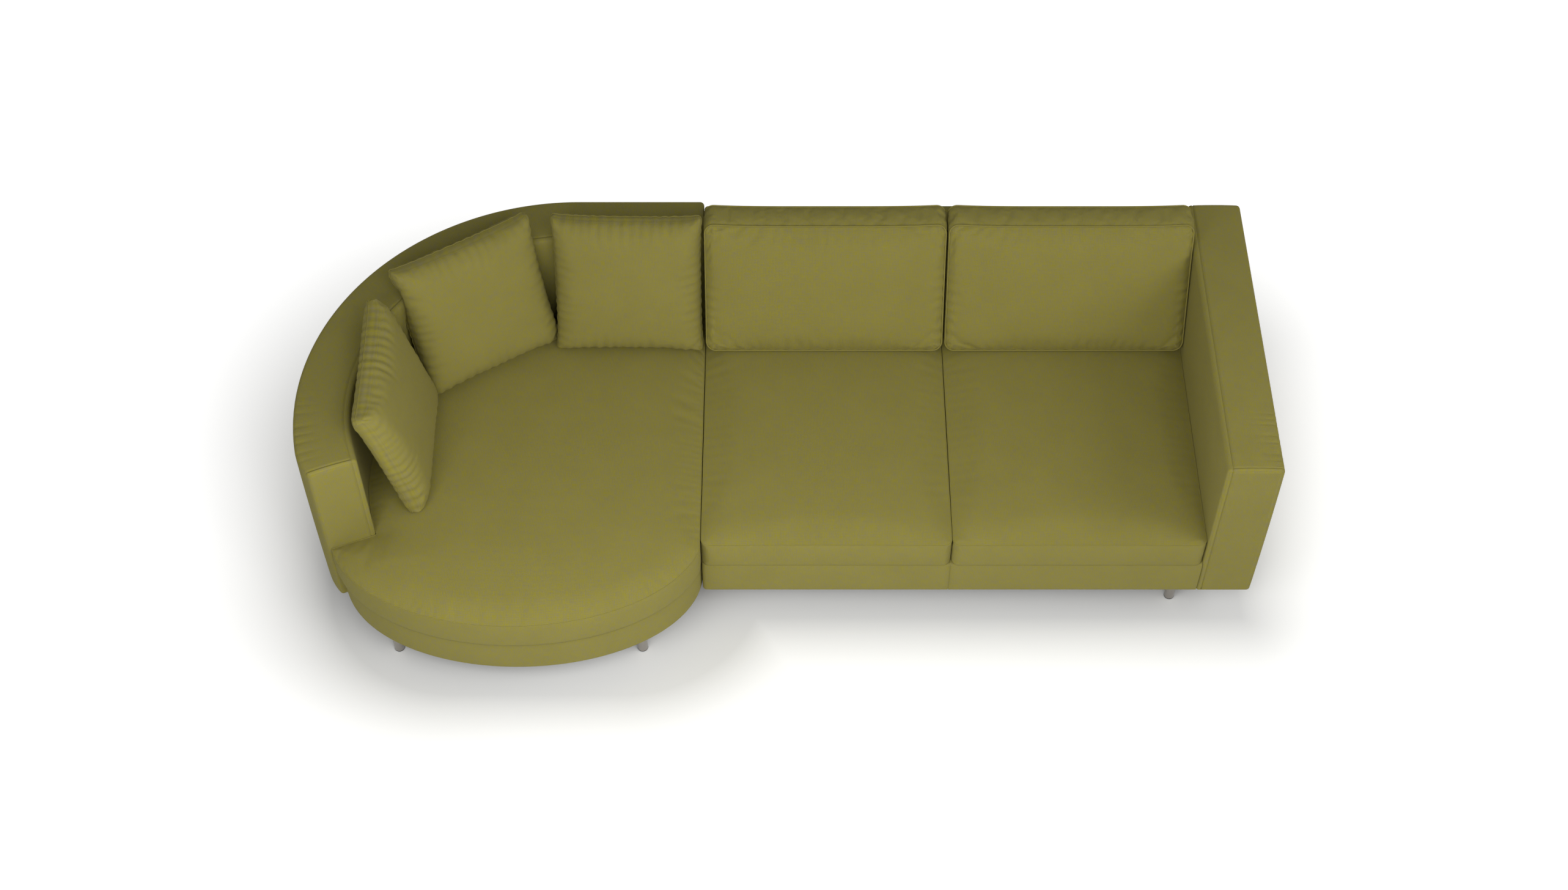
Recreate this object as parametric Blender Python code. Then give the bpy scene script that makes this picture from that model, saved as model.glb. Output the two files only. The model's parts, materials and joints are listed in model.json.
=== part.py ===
"""Sofa with a half-oval chaise, made of two upholstered units that stand side by side.

Metres, +Z up, the sofa faces -Y. The origin is on the floor, in the middle of the width and depth.
Inside the script, y = 0 is the front plane of the straight arm and of the sofa unit's front rail.
"""

import math

import bpy
from mathutils import Matrix, Vector

# Plan of the two units, from the chaise's round corner to the straight arm
shell_radius = 0.7375
straight_back_length = 0.3685
left_seat_width = 0.706
right_seat_width = 0.7135
arm_thickness = 0.1545
arm_depth = 0.9765
shell_thickness = 0.154
shell_rear_step = 0.0135
shell_turn = math.radians(111.8)
chaise_front_setback = 0.0385
chaise_front_reach = 0.3108
chaise_front_offset = 0.0157

# Heights
leg_height = 0.142
base_height = 0.135
seat_border = 0.104
arm_height = 0.5815

# Clearances: between pieces that touch, between the two units, and round a soft piece
fit = 0.0003
unit_gap = 0.0012
soft_gap = 0.002

# Upholstery: edge radii, padding, cloth
edge_radius = 0.018
wall_corner_radius = 0.022
foam_thickness = 0.020
front_foam = 0.012
border_return = 0.040
border_edge_radius = 0.005
cover_cloth = 0.0015
bottom_cloth = 0.0012
bottom_cloth_margin = 0.015
back_recess = 0.005
back_foot_depth = 0.140
back_top_depth = 0.074
back_slot_foam = 0.015

# Timber
rail_thickness = 0.025
bent_rail_thickness = 0.018
block_size = 0.085
block_height = 0.045
post_width = 0.045
frame_rail_height = 0.030
panel_thickness = 0.009
panel_margin = 0.060
plate_thickness = 0.018
stud_width = 0.040
cross_rail_y = 0.300
round_stud_count = 4
arm_column_count = 3
arm_row_count = 2
back_column_count = 5

# Webbing
strap_width = 0.060
strap_thickness = 0.0018
strap_pitch = 0.130
cross_strap_pitch = 0.210
chaise_strap_margin = 0.110

# Seat cushions
cushion_corner_radius = 0.020
cushion_overhang = 0.005
chaise_overhang = 0.012
border_tuck = 0.004
seat_crown = 0.024
seat_crown_reach = 0.26
side_pull_share = 0.012

# Back cushions: a wedge between a leaning front and a steeper rear
back_cushion_foot_gap = 0.003
back_cushion_foot_depth = 0.1515
back_cushion_front_lean = 0.157
back_cushion_rear_lean = 0.0795
back_cushion_height = 0.386
back_cushion_crown = 0.026
back_cushion_corner = 0.026

# Scatter cushions, sized and placed as shares of the wall's inner radius from the corner's centre
pillow_side_share = 0.737
pillow_front_bulge = 0.075
pillow_rear_bulge = 0.022
pillow_side_pull_share = 0.11
pillow_edge = 0.003
pillow_place_shares = {
    "pillow_right": (0.244, 0.745),
    "pillow_middle": (-0.422, 0.625),
    "pillow_left": (-0.725, 0.040),
}
pillow_headings = {"pillow_right": -1, "pillow_middle": 31, "pillow_left": 90}
pillow_leans = {"pillow_right": 20, "pillow_middle": 16, "pillow_left": 15}

# Legs: a steel tube with a plate welded on top and a glide in its foot
leg_diameter = 0.030
leg_wall = 0.0015
leg_inset_x = 0.049
leg_inset_y = 0.078
chaise_leg_spread_share = 0.686
chaise_leg_shift = 0.014
chaise_leg_reach_share = 0.497
hidden_leg_y = 0.160
plate_side = 0.064
plate_corner_radius = 0.008
leg_plate_thickness = 0.003
glide_height = 0.004
glide_lip = 0.0008
glide_hole_diameter = 0.008
spigot_height = 0.012

# Connector plate between the units
connector_length = 0.140
connector_width = 0.040
connector_thickness = 0.004
connector_y = 0.450

# Facets
corner_steps = 3
arc_step = math.radians(7.5)
least_radius = 0.0005

# Places worked out from the sizes above
total_width = (
    shell_radius + straight_back_length + left_seat_width + right_seat_width + arm_thickness
)
joint_x = -total_width / 2 + shell_radius + straight_back_length
seat_split_x = joint_x + left_seat_width
arm_inner_x = seat_split_x + right_seat_width
arm_outer_x = arm_inner_x + arm_thickness
shell_x = joint_x - straight_back_length
shell_y = arm_depth + shell_rear_step - shell_radius
shell_inner_radius = shell_radius - shell_thickness
shell_end_angle = math.pi / 2 + shell_turn
wall_inner_y = shell_y + shell_inner_radius
chaise_front_half_width = (shell_radius + straight_back_length) / 2 - chaise_front_setback
oval_x = joint_x - chaise_front_half_width
oval_y = shell_y + shell_inner_radius * math.sin(shell_end_angle) + chaise_front_offset
front_edge_y = oval_y - chaise_front_reach - chaise_overhang
middle_y = (arm_depth + shell_rear_step + front_edge_y) / 2
back_rear_y = arm_depth - back_recess
back_foot_y = back_rear_y - back_foot_depth
cushion_foot_rear = back_foot_y - back_cushion_foot_gap
cushion_foot_front = cushion_foot_rear - back_cushion_foot_depth
pillow_side = pillow_side_share * shell_inner_radius
base_bottom = leg_height
base_top = base_bottom + base_height
seam_top = base_top + fit + seat_border
arm_top = base_bottom + arm_height
deck_bottom = base_top - cover_cloth
strap_bottom = deck_bottom - fit - strap_thickness
rail_top = strap_bottom - fit
rail_bottom = base_bottom + cover_cloth + fit
cloth_top = base_bottom - fit
plate_top = cloth_top - bottom_cloth - fit
plate_bottom = plate_top - leg_plate_thickness

SOFA = "sofa"
OLIVE = ((0.150, 0.135, 0.045), 0.9, 0.0)
TIMBER = ((0.55, 0.40, 0.24), 0.7, 0.0)
PLYWOOD = ((0.50, 0.36, 0.22), 0.65, 0.0)
BLACK_CLOTH = ((0.02, 0.02, 0.02), 0.95, 0.0)
WEBBING = ((0.10, 0.10, 0.10), 0.9, 0.0)
STEEL = ((0.62, 0.62, 0.63), 0.18, 1.0)
ZINC = ((0.55, 0.56, 0.58), 0.4, 1.0)


def clear_scene():
    for thing in list(bpy.data.objects):
        bpy.data.objects.remove(thing, do_unlink=True)


def add_root():
    root = bpy.data.objects.new(SOFA, None)
    root.location = (0, -middle_y, 0)
    bpy.context.scene.collection.objects.link(root)
    return root


def make_finish(name, finish):
    colour, roughness, metallic = finish
    material = bpy.data.materials.new(name)
    material.use_nodes = True
    shader = material.node_tree.nodes["Principled BSDF"]
    shader.inputs["Base Color"].default_value = (*colour, 1)
    shader.inputs["Roughness"].default_value = roughness
    shader.inputs["Metallic"].default_value = metallic
    return material


def add_mesh(name, corners, faces, finish, origin=(0, 0, 0)):
    """One object, on the sofa's frame, with its own finish."""
    mesh = bpy.data.meshes.new(name)
    mesh.from_pydata([Vector(corner) - Vector(origin) for corner in corners], [], faces)
    mesh.shade_smooth()
    mesh.set_sharp_from_angle(angle=math.radians(40))
    mesh.materials.append(make_finish(name, finish))
    piece = bpy.data.objects.new(name, mesh)
    piece.location = origin
    piece.parent = bpy.data.objects[SOFA]
    bpy.context.scene.collection.objects.link(piece)
    return piece


def add_loft(name, rings, finish, origin=(0, 0, 0)):
    """A closed body from rings of equally many points, skinned in order and capped."""
    count = len(rings[0])
    faces = []
    for level in range(len(rings) - 1):
        low = level * count
        for side in range(count):
            beside = (side + 1) % count
            faces.append((low + side, low + beside, low + count + beside, low + count + side))
    last = count * (len(rings) - 1)
    faces.append(tuple(reversed(range(count))))
    faces.append(tuple(range(last, last + count)))
    corners = [point for ring in rings for point in ring]
    return add_mesh(name, corners, faces, finish, origin)


def add_lattice(name, place, columns, rows, solid, thickness, finish):
    """A flat body of cells between break lines; place gives a corner, solid says which cells."""
    cells = [(i, j) for i in range(columns) for j in range(rows) if solid(i, j)]
    index = {}
    corners = []
    faces = []
    for side in (0, 1):
        for i, j in cells:
            for corner in ((i, j), (i + 1, j), (i + 1, j + 1), (i, j + 1)):
                if (*corner, side) not in index:
                    index[(*corner, side)] = len(corners)
                    corners.append(place(*corner, side * thickness))
    for i, j in cells:
        around = ((i, j), (i + 1, j), (i + 1, j + 1), (i, j + 1))
        faces.append(tuple(index[(*corner, 1)] for corner in around))
        faces.append(tuple(index[(*corner, 0)] for corner in reversed(around)))
        beyond = ((i, j - 1), (i + 1, j), (i, j + 1), (i - 1, j))
        for step, neighbour in enumerate(beyond):
            if neighbour not in cells:
                start, end = around[step], around[(step + 1) % len(around)]
                faces.append(
                    (index[(*start, 0)], index[(*end, 0)], index[(*end, 1)], index[(*start, 1)])
                )
    return add_mesh(name, corners, faces, finish)


def spread(first, last, steps):
    return [first + (last - first) * step / steps for step in range(steps + 1)]


def arc(centre_x, centre_y, radius, start, end, steps):
    return [
        (centre_x + radius * math.cos(angle), centre_y + radius * math.sin(angle))
        for angle in spread(start, end, steps)
    ]


def rounded_box(x0, x1, y0, y1, radius, inset=0.0, side_steps=1):
    """Outline of a rectangle with rounded corners, counter-clockwise, drawn in by inset."""
    turn = max(radius - inset, least_radius)
    left, right = x0 + inset + turn, x1 - inset - turn
    front, rear = y0 + inset + turn, y1 - inset - turn
    outline = []
    corners = ((right, front), (right, rear), (left, rear), (left, front))
    for index, corner in enumerate(corners):
        start = (index - 1) * math.pi / 2
        outline += arc(*corner, turn, start, start + math.pi / 2, corner_steps)
        following = corners[(index + 1) % len(corners)]
        end = outline[-1]
        target = (
            following[0] + turn * math.cos(start + math.pi / 2),
            following[1] + turn * math.sin(start + math.pi / 2),
        )
        for step in range(1, side_steps):
            share = step / side_steps
            outline.append(
                (end[0] + (target[0] - end[0]) * share, end[1] + (target[1] - end[1]) * share)
            )
    return outline


def at_height(outline, z):
    return [(x, y, z) for x, y in outline]


def block(x0, x1, y0, y1, z0, z1):
    outline = [(x0, y0), (x1, y0), (x1, y1), (x0, y1)]
    return [at_height(outline, z0), at_height(outline, z1)]


def padded_wall(outline, top, pocket, pocket_top):
    """A padded shell: open pocket below for its frame, rounded edges round its top."""
    rings = [at_height(pocket, pocket_top), at_height(pocket, base_bottom)]
    rings.append(at_height(outline(0.0, base_bottom), base_bottom))
    for angle in spread(0.0, math.pi / 2, corner_steps):
        inset = edge_radius * (1 - math.cos(angle))
        z = top - edge_radius * (1 - math.sin(angle))
        rings.append(at_height(outline(inset, z), z))
    return rings


def add_block(name, x0, x1, y0, y1, z0, z1, finish=TIMBER):
    add_loft(name, block(x0, x1, y0, y1, z0, z1), finish)


def window_breaks(low, high, windows):
    """Break lines of a panel: margins with equal windows between them."""
    window = (high - low - panel_margin * (windows + 1)) / windows
    breaks = [low]
    for _ in range(windows):
        breaks += [breaks[-1] + panel_margin, breaks[-1] + panel_margin + window]
    return [*breaks, high]


def is_panel(column, row):
    return column % 2 == 0 or row % 2 == 0


def is_strap(column, row):
    return column % 2 == 1 or row % 2 == 1


# The chaise unit's outlines


def corner_arc(radius, end):
    """Points round the chaise's corner, from its straight back on, at the same angles on every radius."""
    count = int((end - math.pi / 2) / arc_step - arc_step)
    angles = [math.pi / 2 + arc_step * step for step in range(count + 1)]
    return [
        (shell_x + radius * math.cos(angle), shell_y + radius * math.sin(angle))
        for angle in (*angles, end)
    ]


def shell_outline(inset, height=0.0):
    """The curved wall seen from above: straight back, round corner, radial end face."""
    outer = shell_radius - inset
    inner = shell_inner_radius + inset
    turn = max(wall_corner_radius - inset, least_radius)
    right = joint_x - unit_gap / 2 - inset
    face = shell_end_angle + math.pi / 2
    outer_turn = outer - turn
    outer_angle = shell_end_angle - math.asin((inset + turn) / outer_turn)
    inner_turn = inner + turn
    inner_angle = shell_end_angle - math.asin((inset + turn) / inner_turn)
    outline = arc(right - turn, shell_y + outer - turn, turn, 0.0, math.pi / 2, corner_steps)
    outline += corner_arc(outer, outer_angle)[:-1]
    outline += arc(
        shell_x + outer_turn * math.cos(outer_angle),
        shell_y + outer_turn * math.sin(outer_angle),
        turn, outer_angle, face, corner_steps,
    )
    outline += arc(
        shell_x + inner_turn * math.cos(inner_angle),
        shell_y + inner_turn * math.sin(inner_angle),
        turn, face, inner_angle + math.pi, corner_steps,
    )
    outline += reversed(corner_arc(inner, inner_angle)[:-1])
    outline += arc(
        right - turn, shell_y + inner + turn, turn, -math.pi / 2, 0.0, corner_steps
    )
    return outline


def end_face_crossing(radius_x, radius_y, distance):
    """Angle at which an oval round the chaise's front meets a line beside the wall's end face."""
    face = shell_end_angle + math.pi / 2
    along_cos = math.cos(face) * radius_x
    along_sin = math.sin(face) * radius_y
    rest = distance - math.cos(face) * (oval_x - shell_x) - math.sin(face) * (oval_y - shell_y)
    middle = math.atan2(along_sin, along_cos)
    return middle - math.acos(rest / math.hypot(along_cos, along_sin))


def oval_point(angle, inset=0.0):
    return (
        oval_x + (chaise_front_half_width - inset) * math.cos(angle),
        oval_y + (chaise_front_reach - inset) * math.sin(angle),
    )


def oval_angles(inset, distance):
    """Angles along the half-oval front, from the wall's end face by the apex to the joint."""
    start = end_face_crossing(
        chaise_front_half_width - inset, chaise_front_reach - inset, distance
    ) % (2 * math.pi)
    end = 2 * math.pi
    count = int((end - start) / arc_step - arc_step)
    return [start, *(end - arc_step * step for step in range(count, -1, -1))]


def chaise_outline(inset, clearance=fit, overhang=0.0):
    """The chaise's seat area: half-oval front, straight sides, and the wall's inner face."""
    arc_radius = shell_inner_radius - clearance - inset
    distance = clearance + inset
    corner_angle = shell_end_angle + math.asin(distance / arc_radius)
    right = joint_x - unit_gap / 2 - clearance - inset
    rear = shell_y + arc_radius
    front_angles = oval_angles(inset - overhang, distance)
    outline = [(right, y) for y in spread(oval_y, rear, corner_steps)]
    outline += corner_arc(arc_radius, corner_angle)
    front = [oval_point(angle, inset - overhang) for angle in front_angles]
    outline += [(min(x, right), y) for x, y in front[:-1]]
    return outline


def chaise_footprint(inset):
    """Outline of the whole chaise unit: outer wall, end face and half-oval front."""
    right = joint_x - unit_gap / 2 - inset
    outer = shell_radius - inset
    end_angle = shell_end_angle - math.asin(inset / outer)
    front_angles = oval_angles(inset, -inset)
    outline = [(right, y) for y in spread(oval_y, shell_y + outer, corner_steps)]
    outline += corner_arc(outer, end_angle)
    front = [oval_point(angle, inset) for angle in front_angles]
    outline += [(min(x, right), y) for x, y in front[:-1]]
    return outline


# Soft pieces


def distance_to(outline, point):
    """Least distance from a point to a closed outline."""
    here = Vector(point)
    least = math.inf
    for index, end in enumerate(outline):
        start = Vector(outline[index - 1])
        span = Vector(end) - start
        share = max(0.0, min(1.0, (here - start).dot(span) / span.length_squared))
        least = min(least, (here - start - span * share).length)
    return least


def edge_crown(seam, reach):
    """Share of the crown at a point: rises from the seam and is full at reach from it."""

    def share(point):
        near = min(1.0, distance_to(seam, point) / reach)
        return 1 - (1 - near) ** 2

    return share


def box_crown(middle, half_x, half_y):
    """Share of the crown at a point of a rectangular cushion: full in the middle, nothing at its sides."""

    def share(point):
        across = min(1.0, abs(point[0] - middle[0]) / half_x)
        along = min(1.0, abs(point[1] - middle[1]) / half_y)
        return (1 - across**3) * (1 - along**3)

    return share


def pad(outline_of, middle, border, crown, crown_share, place):
    """A crowned cushion's rings: flat underside, bulging border drawn in at both seams, crown."""
    border_shares = ((1.0, 0.0), (0.15, 0.22), (0.15, 0.78), (1.0, 1.0))
    crown_shares = (0.96, 0.9, 0.82, 0.72, 0.6, 0.46, 0.3)
    rings = [
        [place(point, border * height) for point in outline_of(border_tuck * tuck)]
        for tuck, height in border_shares
    ]
    seam = outline_of(border_tuck)
    centre = Vector(middle)
    for share in crown_shares:
        ring = [centre + (Vector(point) - centre) * share for point in seam]
        rings.append([place(point, border + crown * crown_share(point)) for point in ring])
    return rings


def inside(outline, point):
    """True where a point lies inside a closed outline."""
    x, y = point
    crossings = 0
    for index, (x1, y1) in enumerate(outline):
        x0, y0 = outline[index - 1]
        if (y0 > y) != (y1 > y) and x < x0 + (x1 - x0) * (y - y0) / (y1 - y0):
            crossings += 1
    return crossings % 2 == 1


def settle(rings, seam, crown_share):
    """Lowers or lifts a soft piece until it rests on the crowned cushion below it."""
    rises = [
        z - seat_crown * crown_share((x, y))
        for ring in rings
        for x, y, z in ring
        if inside(seam, (x, y))
    ]
    drop = min(rises) - seam_top - fit
    return [[(x, y, z - drop) for x, y, z in ring] for ring in rings]


def drawn_in(outline, middle, half_x, half_y, share):
    """Draws the four sides of an outline in between its corners."""
    pulled = []
    for x, y in outline:
        across = (x - middle[0]) / half_x
        along = (y - middle[1]) / half_y
        pulled.append(
            (
                middle[0] + half_x * across * (1 - share * (1 - along**2)),
                middle[1] + half_y * along * (1 - share * (1 - across**2)),
            )
        )
    return pulled


def seat_outline(x0, x1):
    """Plan of a box seat cushion between two neighbours, with its front just proud of the rail."""
    left, right = x0 + soft_gap / 2, x1 - soft_gap / 2
    front, rear = -cushion_overhang, back_foot_y - soft_gap
    middle = ((left + right) / 2, (front + rear) / 2)

    def outline_of(inset):
        outline = rounded_box(left, right, front, rear, cushion_corner_radius, inset, 4)
        return drawn_in(
            outline, middle, (right - left) / 2, (rear - front) / 2, side_pull_share
        )

    half_x, half_y = (right - left) / 2 - border_tuck, (rear - front) / 2 - border_tuck
    return outline_of, middle, box_crown(middle, half_x, half_y)


def add_seat_cushion(name, x0, x1):
    outline_of, middle, crown_share = seat_outline(x0, x1)

    def place(point, height):
        return (point[0], point[1], base_top + fit + height)

    rings = pad(outline_of, middle, seat_border, seat_crown, crown_share, place)
    add_loft(name, rings, OLIVE, (*middle, base_top + fit))
    return outline_of(border_tuck), crown_share


def add_chaise_cushion():
    def outline_of(inset):
        return chaise_outline(inset, soft_gap / 2, chaise_overhang)

    def place(point, height):
        return (point[0], point[1], base_top + fit + height)

    middle = ((shell_x + oval_x) / 2, shell_y)
    seam = outline_of(border_tuck)
    crown_share = edge_crown(seam, seat_crown_reach)
    rings = pad(outline_of, middle, seat_border, seat_crown, crown_share, place)
    add_loft("chaise_seat_cushion", rings, OLIVE, (*middle, base_top + fit))
    return seam, crown_share


def add_back_cushion(name, x0, x1, seat):
    """A box cushion that is thick at its foot and thin at its top, leaning on the back frame."""
    left, right = x0 + soft_gap / 2, x1 - soft_gap / 2
    middle = ((left + right) / 2, back_cushion_height / 2)
    foot = Vector((cushion_foot_front, seam_top))
    foot_rear = Vector((cushion_foot_rear, seam_top))
    top = foot + Vector((back_cushion_front_lean, back_cushion_height))
    top_rear = foot_rear + Vector((back_cushion_rear_lean, back_cushion_height))
    lean = (top - foot).normalized()
    outward = Vector((-lean[1], lean[0]))
    border = (foot_rear - foot).length

    def outline_of(inset):
        outline = rounded_box(
            left, right, 0.0, back_cushion_height, back_cushion_corner, inset, 4
        )
        pulled = drawn_in(
            outline, middle, (right - left) / 2, back_cushion_height / 2, side_pull_share
        )
        return [(x, min(up, high)) for (x, high), (_, up) in zip(pulled, outline)]

    def place(point, height):
        up = point[1] / back_cushion_height
        forward = min(1.0, height / border)
        rear_point = foot_rear.lerp(top_rear, up)
        front_point = foot.lerp(top, up)
        spot = rear_point.lerp(front_point, forward) + outward * max(0.0, height - border)
        return (point[0], spot[0], spot[1])

    crown_share = box_crown(
        middle, (right - left) / 2 - border_tuck, back_cushion_height / 2 - border_tuck
    )
    rings = pad(outline_of, middle, border, back_cushion_crown, crown_share, place)
    rings = settle(rings, *seat)
    add_loft(name, rings, OLIVE, (middle[0], cushion_foot_front, seam_top))


def add_pillow(name, x, y, heading, lean, seat):
    """A knife-edge scatter cushion that stands on one edge and leans back, flatter behind."""
    half = pillow_side / 2
    turn = Matrix.Rotation(heading, 3, "Z") @ Matrix.Rotation(-lean, 3, "X")
    square = rounded_box(-half, half, -half, half, pillow_edge, 0.0, 8)

    def ring_of(share, bulge):
        flat = [(across * share, up * share) for across, up in square]
        pulled = drawn_in(flat, (0.0, 0.0), half, half, pillow_side_pull_share)
        ring = []
        for (across, up), spot in zip(flat, pulled):
            fullness = math.sqrt((1 - (across / half) ** 4) * (1 - (up / half) ** 4))
            place = turn @ Vector((spot[0], -bulge * fullness, spot[1] + half))
            ring.append((x + place[0], y + place[1], seam_top + place[2]))
        return ring

    shares = (0.99, 0.95, 0.87, 0.72, 0.4)
    rings = [ring_of(share, -pillow_rear_bulge) for share in reversed(shares)]
    rings.append(ring_of(1.0, 0.0))
    rings += [ring_of(share, pillow_front_bulge) for share in shares]
    rings = settle(rings, *seat)
    add_loft(name, rings, OLIVE, (x, y, seam_top))


# Webbing


def even_places(first, last, pitch):
    """Centres of equally spaced straps between two walls."""
    count = max(1, int((last - first) / pitch))
    step = (last - first) / count
    return [first + step * (index + 1 / 2) for index in range(count)]


def add_webbing(name, columns, rows, ends_y, ends_x):
    """Straps stitched where they cross; ends_y and ends_x give where each one ends."""
    half = strap_width / 2
    column_edges = [x + side for x in columns for side in (-half, half)]
    row_edges = [y + side for y in rows for side in (-half, half)]

    def place(i, j, lift):
        column = columns[min(max(i - 1, 0) // 2, len(columns) - 1)]
        row = rows[min(max(j - 1, 0) // 2, len(rows) - 1)]
        x_ends = ends_x(row)
        y_ends = ends_y(column)
        x = x_ends[0] if i == 0 else x_ends[1] if i > len(column_edges) else column_edges[i - 1]
        y = y_ends[0] if j == 0 else y_ends[1] if j > len(row_edges) else row_edges[j - 1]
        return (x, y, strap_bottom + lift)

    columns_count, rows_count = len(column_edges) + 1, len(row_edges) + 1
    add_lattice(name, place, columns_count, rows_count, is_strap, strap_thickness, WEBBING)


# The sofa unit


def add_sofa_base():
    left = joint_x + unit_gap / 2
    right = arm_inner_x - fit
    rear = back_foot_y - fit
    front = front_foam + fit
    inner_front = front + rail_thickness
    inner_rear = rear - rail_thickness
    add_block("sofa_front_rail", left, right, front, inner_front, rail_bottom, rail_top)
    add_block("sofa_rear_rail", left, right, inner_rear, rear, rail_bottom, rail_top)
    centre = seat_split_x - rail_thickness / 2
    for name, x in (
        ("sofa_left_rail", left),
        ("sofa_centre_rail", centre),
        ("sofa_right_rail", right - rail_thickness),
    ):
        add_block(
            name, x, x + rail_thickness, inner_front + fit, inner_rear - fit, rail_bottom, rail_top
        )
    block_left = left + rail_thickness + fit
    block_right = right - rail_thickness - fit - block_size
    block_top = base_bottom + block_height
    for name, x, y in (
        ("leg_block_front_right", block_right, inner_front + fit),
        ("leg_block_rear_right", block_right, inner_rear - fit - block_size),
        ("leg_block_front_left", block_left, hidden_leg_y - block_size / 2),
        ("leg_block_rear_left", block_left, inner_rear - fit - block_size),
    ):
        add_block(name, x, x + block_size, y, y + block_size, base_bottom, block_top)
    section = border_section()
    border = [[(x, depth, height) for depth, height in section] for x in (left, right)]
    add_loft("sofa_front_border", border, OLIVE)
    columns = even_places(left + rail_thickness, centre, strap_pitch)
    columns += even_places(centre + rail_thickness, right - rail_thickness, strap_pitch)
    rows = even_places(inner_front, inner_rear, cross_strap_pitch)
    add_webbing(
        "sofa_seat_webbing",
        columns,
        rows,
        lambda x: (front, rear),
        lambda y: (left, right),
    )
    add_block(
        "sofa_deck_cloth", left, right, border_return + fit, rear, deck_bottom, base_top,
        BLACK_CLOTH,
    )
    add_block(
        "sofa_bottom_cloth",
        joint_x + bottom_cloth_margin,
        arm_outer_x - bottom_cloth_margin,
        bottom_cloth_margin,
        back_rear_y - bottom_cloth_margin,
        cloth_top - bottom_cloth,
        cloth_top,
        BLACK_CLOTH,
    )


def border_section():
    """Cross-section of a padded border: (distance behind the front, height) points."""
    radius = border_edge_radius
    top = base_top - radius
    bottom = base_bottom + radius
    section = [
        (border_return / 2, base_bottom + cover_cloth),
        (front_foam, base_bottom + cover_cloth),
        (front_foam, base_top - cover_cloth),
        (border_return, base_top - cover_cloth),
        (border_return, base_top),
    ]
    section += [
        (radius * (1 - math.sin(angle)), top + radius * math.cos(angle))
        for angle in spread(0.0, math.pi / 2, corner_steps)
    ]
    section += [
        (radius * (1 - math.cos(angle)), bottom - radius * math.sin(angle))
        for angle in spread(0.0, math.pi / 2, corner_steps)
    ]
    section.append((border_return / 2, base_bottom))
    return section


def add_arm():
    sides = (arm_inner_x, arm_outer_x, 0.0, arm_depth, edge_radius)

    def outline(inset, height):
        return rounded_box(*sides, inset)

    pocket = rounded_box(*sides, foam_thickness)
    pocket_top = arm_top - foam_thickness
    add_loft("arm_upholstery", padded_wall(outline, arm_top, pocket, pocket_top), OLIVE)

    x0 = arm_inner_x + foam_thickness + fit
    x1 = arm_outer_x - foam_thickness - fit
    y0 = foam_thickness + fit
    y1 = arm_depth - foam_thickness - fit
    high = pocket_top - fit
    along = window_breaks(y0, y1, arm_column_count)
    up = window_breaks(base_bottom, high, arm_row_count)
    for name, x in (("arm_inner_panel", x0), ("arm_outer_panel", x1 - panel_thickness)):
        add_lattice(
            name,
            lambda i, j, depth, x=x: (x + depth, along[i], up[j]),
            len(along) - 1,
            len(up) - 1,
            is_panel,
            panel_thickness,
            PLYWOOD,
        )
    inner0 = x0 + panel_thickness + fit
    inner1 = x1 - panel_thickness - fit
    rail = base_bottom + frame_rail_height
    high_rail = high - frame_rail_height
    add_block("arm_bottom_rail", inner0, inner1, y0, y1, base_bottom, rail)
    add_block("arm_top_rail", inner0, inner1, y0, y1, high_rail, high)
    posts = (rail + fit, high_rail - fit)
    add_block("arm_front_post", inner0, inner1, y0, y0 + post_width, *posts)
    add_block("arm_rear_post", inner0, inner1, y1 - post_width, y1, *posts)


def add_sofa_back():
    left = joint_x + unit_gap / 2
    right = arm_inner_x - fit
    top_y = back_rear_y - back_top_depth

    def outline(inset, height):
        rise = max(0.0, (height - base_top) / (arm_top - base_top))
        front = back_foot_y + (top_y - back_foot_y) * rise
        return rounded_box(left, right, front, back_rear_y, edge_radius, inset)

    slot_front = top_y + back_slot_foam
    slot_rear = back_rear_y - foam_thickness
    slot_left, slot_right = left + foam_thickness, right - foam_thickness
    pocket = rounded_box(slot_left, slot_right, slot_front, slot_rear, least_radius)
    rings = padded_wall(outline, arm_top, pocket, arm_top - foam_thickness)
    rings.insert(3, at_height(outline(0.0, base_top), base_top))
    add_loft("back_upholstery", rings, OLIVE)

    x0, x1 = slot_left + fit, slot_right - fit
    y0, y1 = slot_front + fit, slot_rear - fit
    high = arm_top - foam_thickness - fit
    rail = base_bottom + frame_rail_height
    high_rail = high - frame_rail_height
    add_block("back_bottom_rail", x0, x1, y0, y1, base_bottom, rail)
    add_block("back_top_rail", x0, x1, y0, y1, high_rail, high)
    along = window_breaks(x0, x1, back_column_count)
    up = window_breaks(rail + fit, high_rail - fit, 1)
    add_lattice(
        "back_panel",
        lambda i, j, depth: (along[i], y1 - depth, up[j]),
        len(along) - 1,
        len(up) - 1,
        is_panel,
        plate_thickness,
        PLYWOOD,
    )


# The chaise unit


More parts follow.
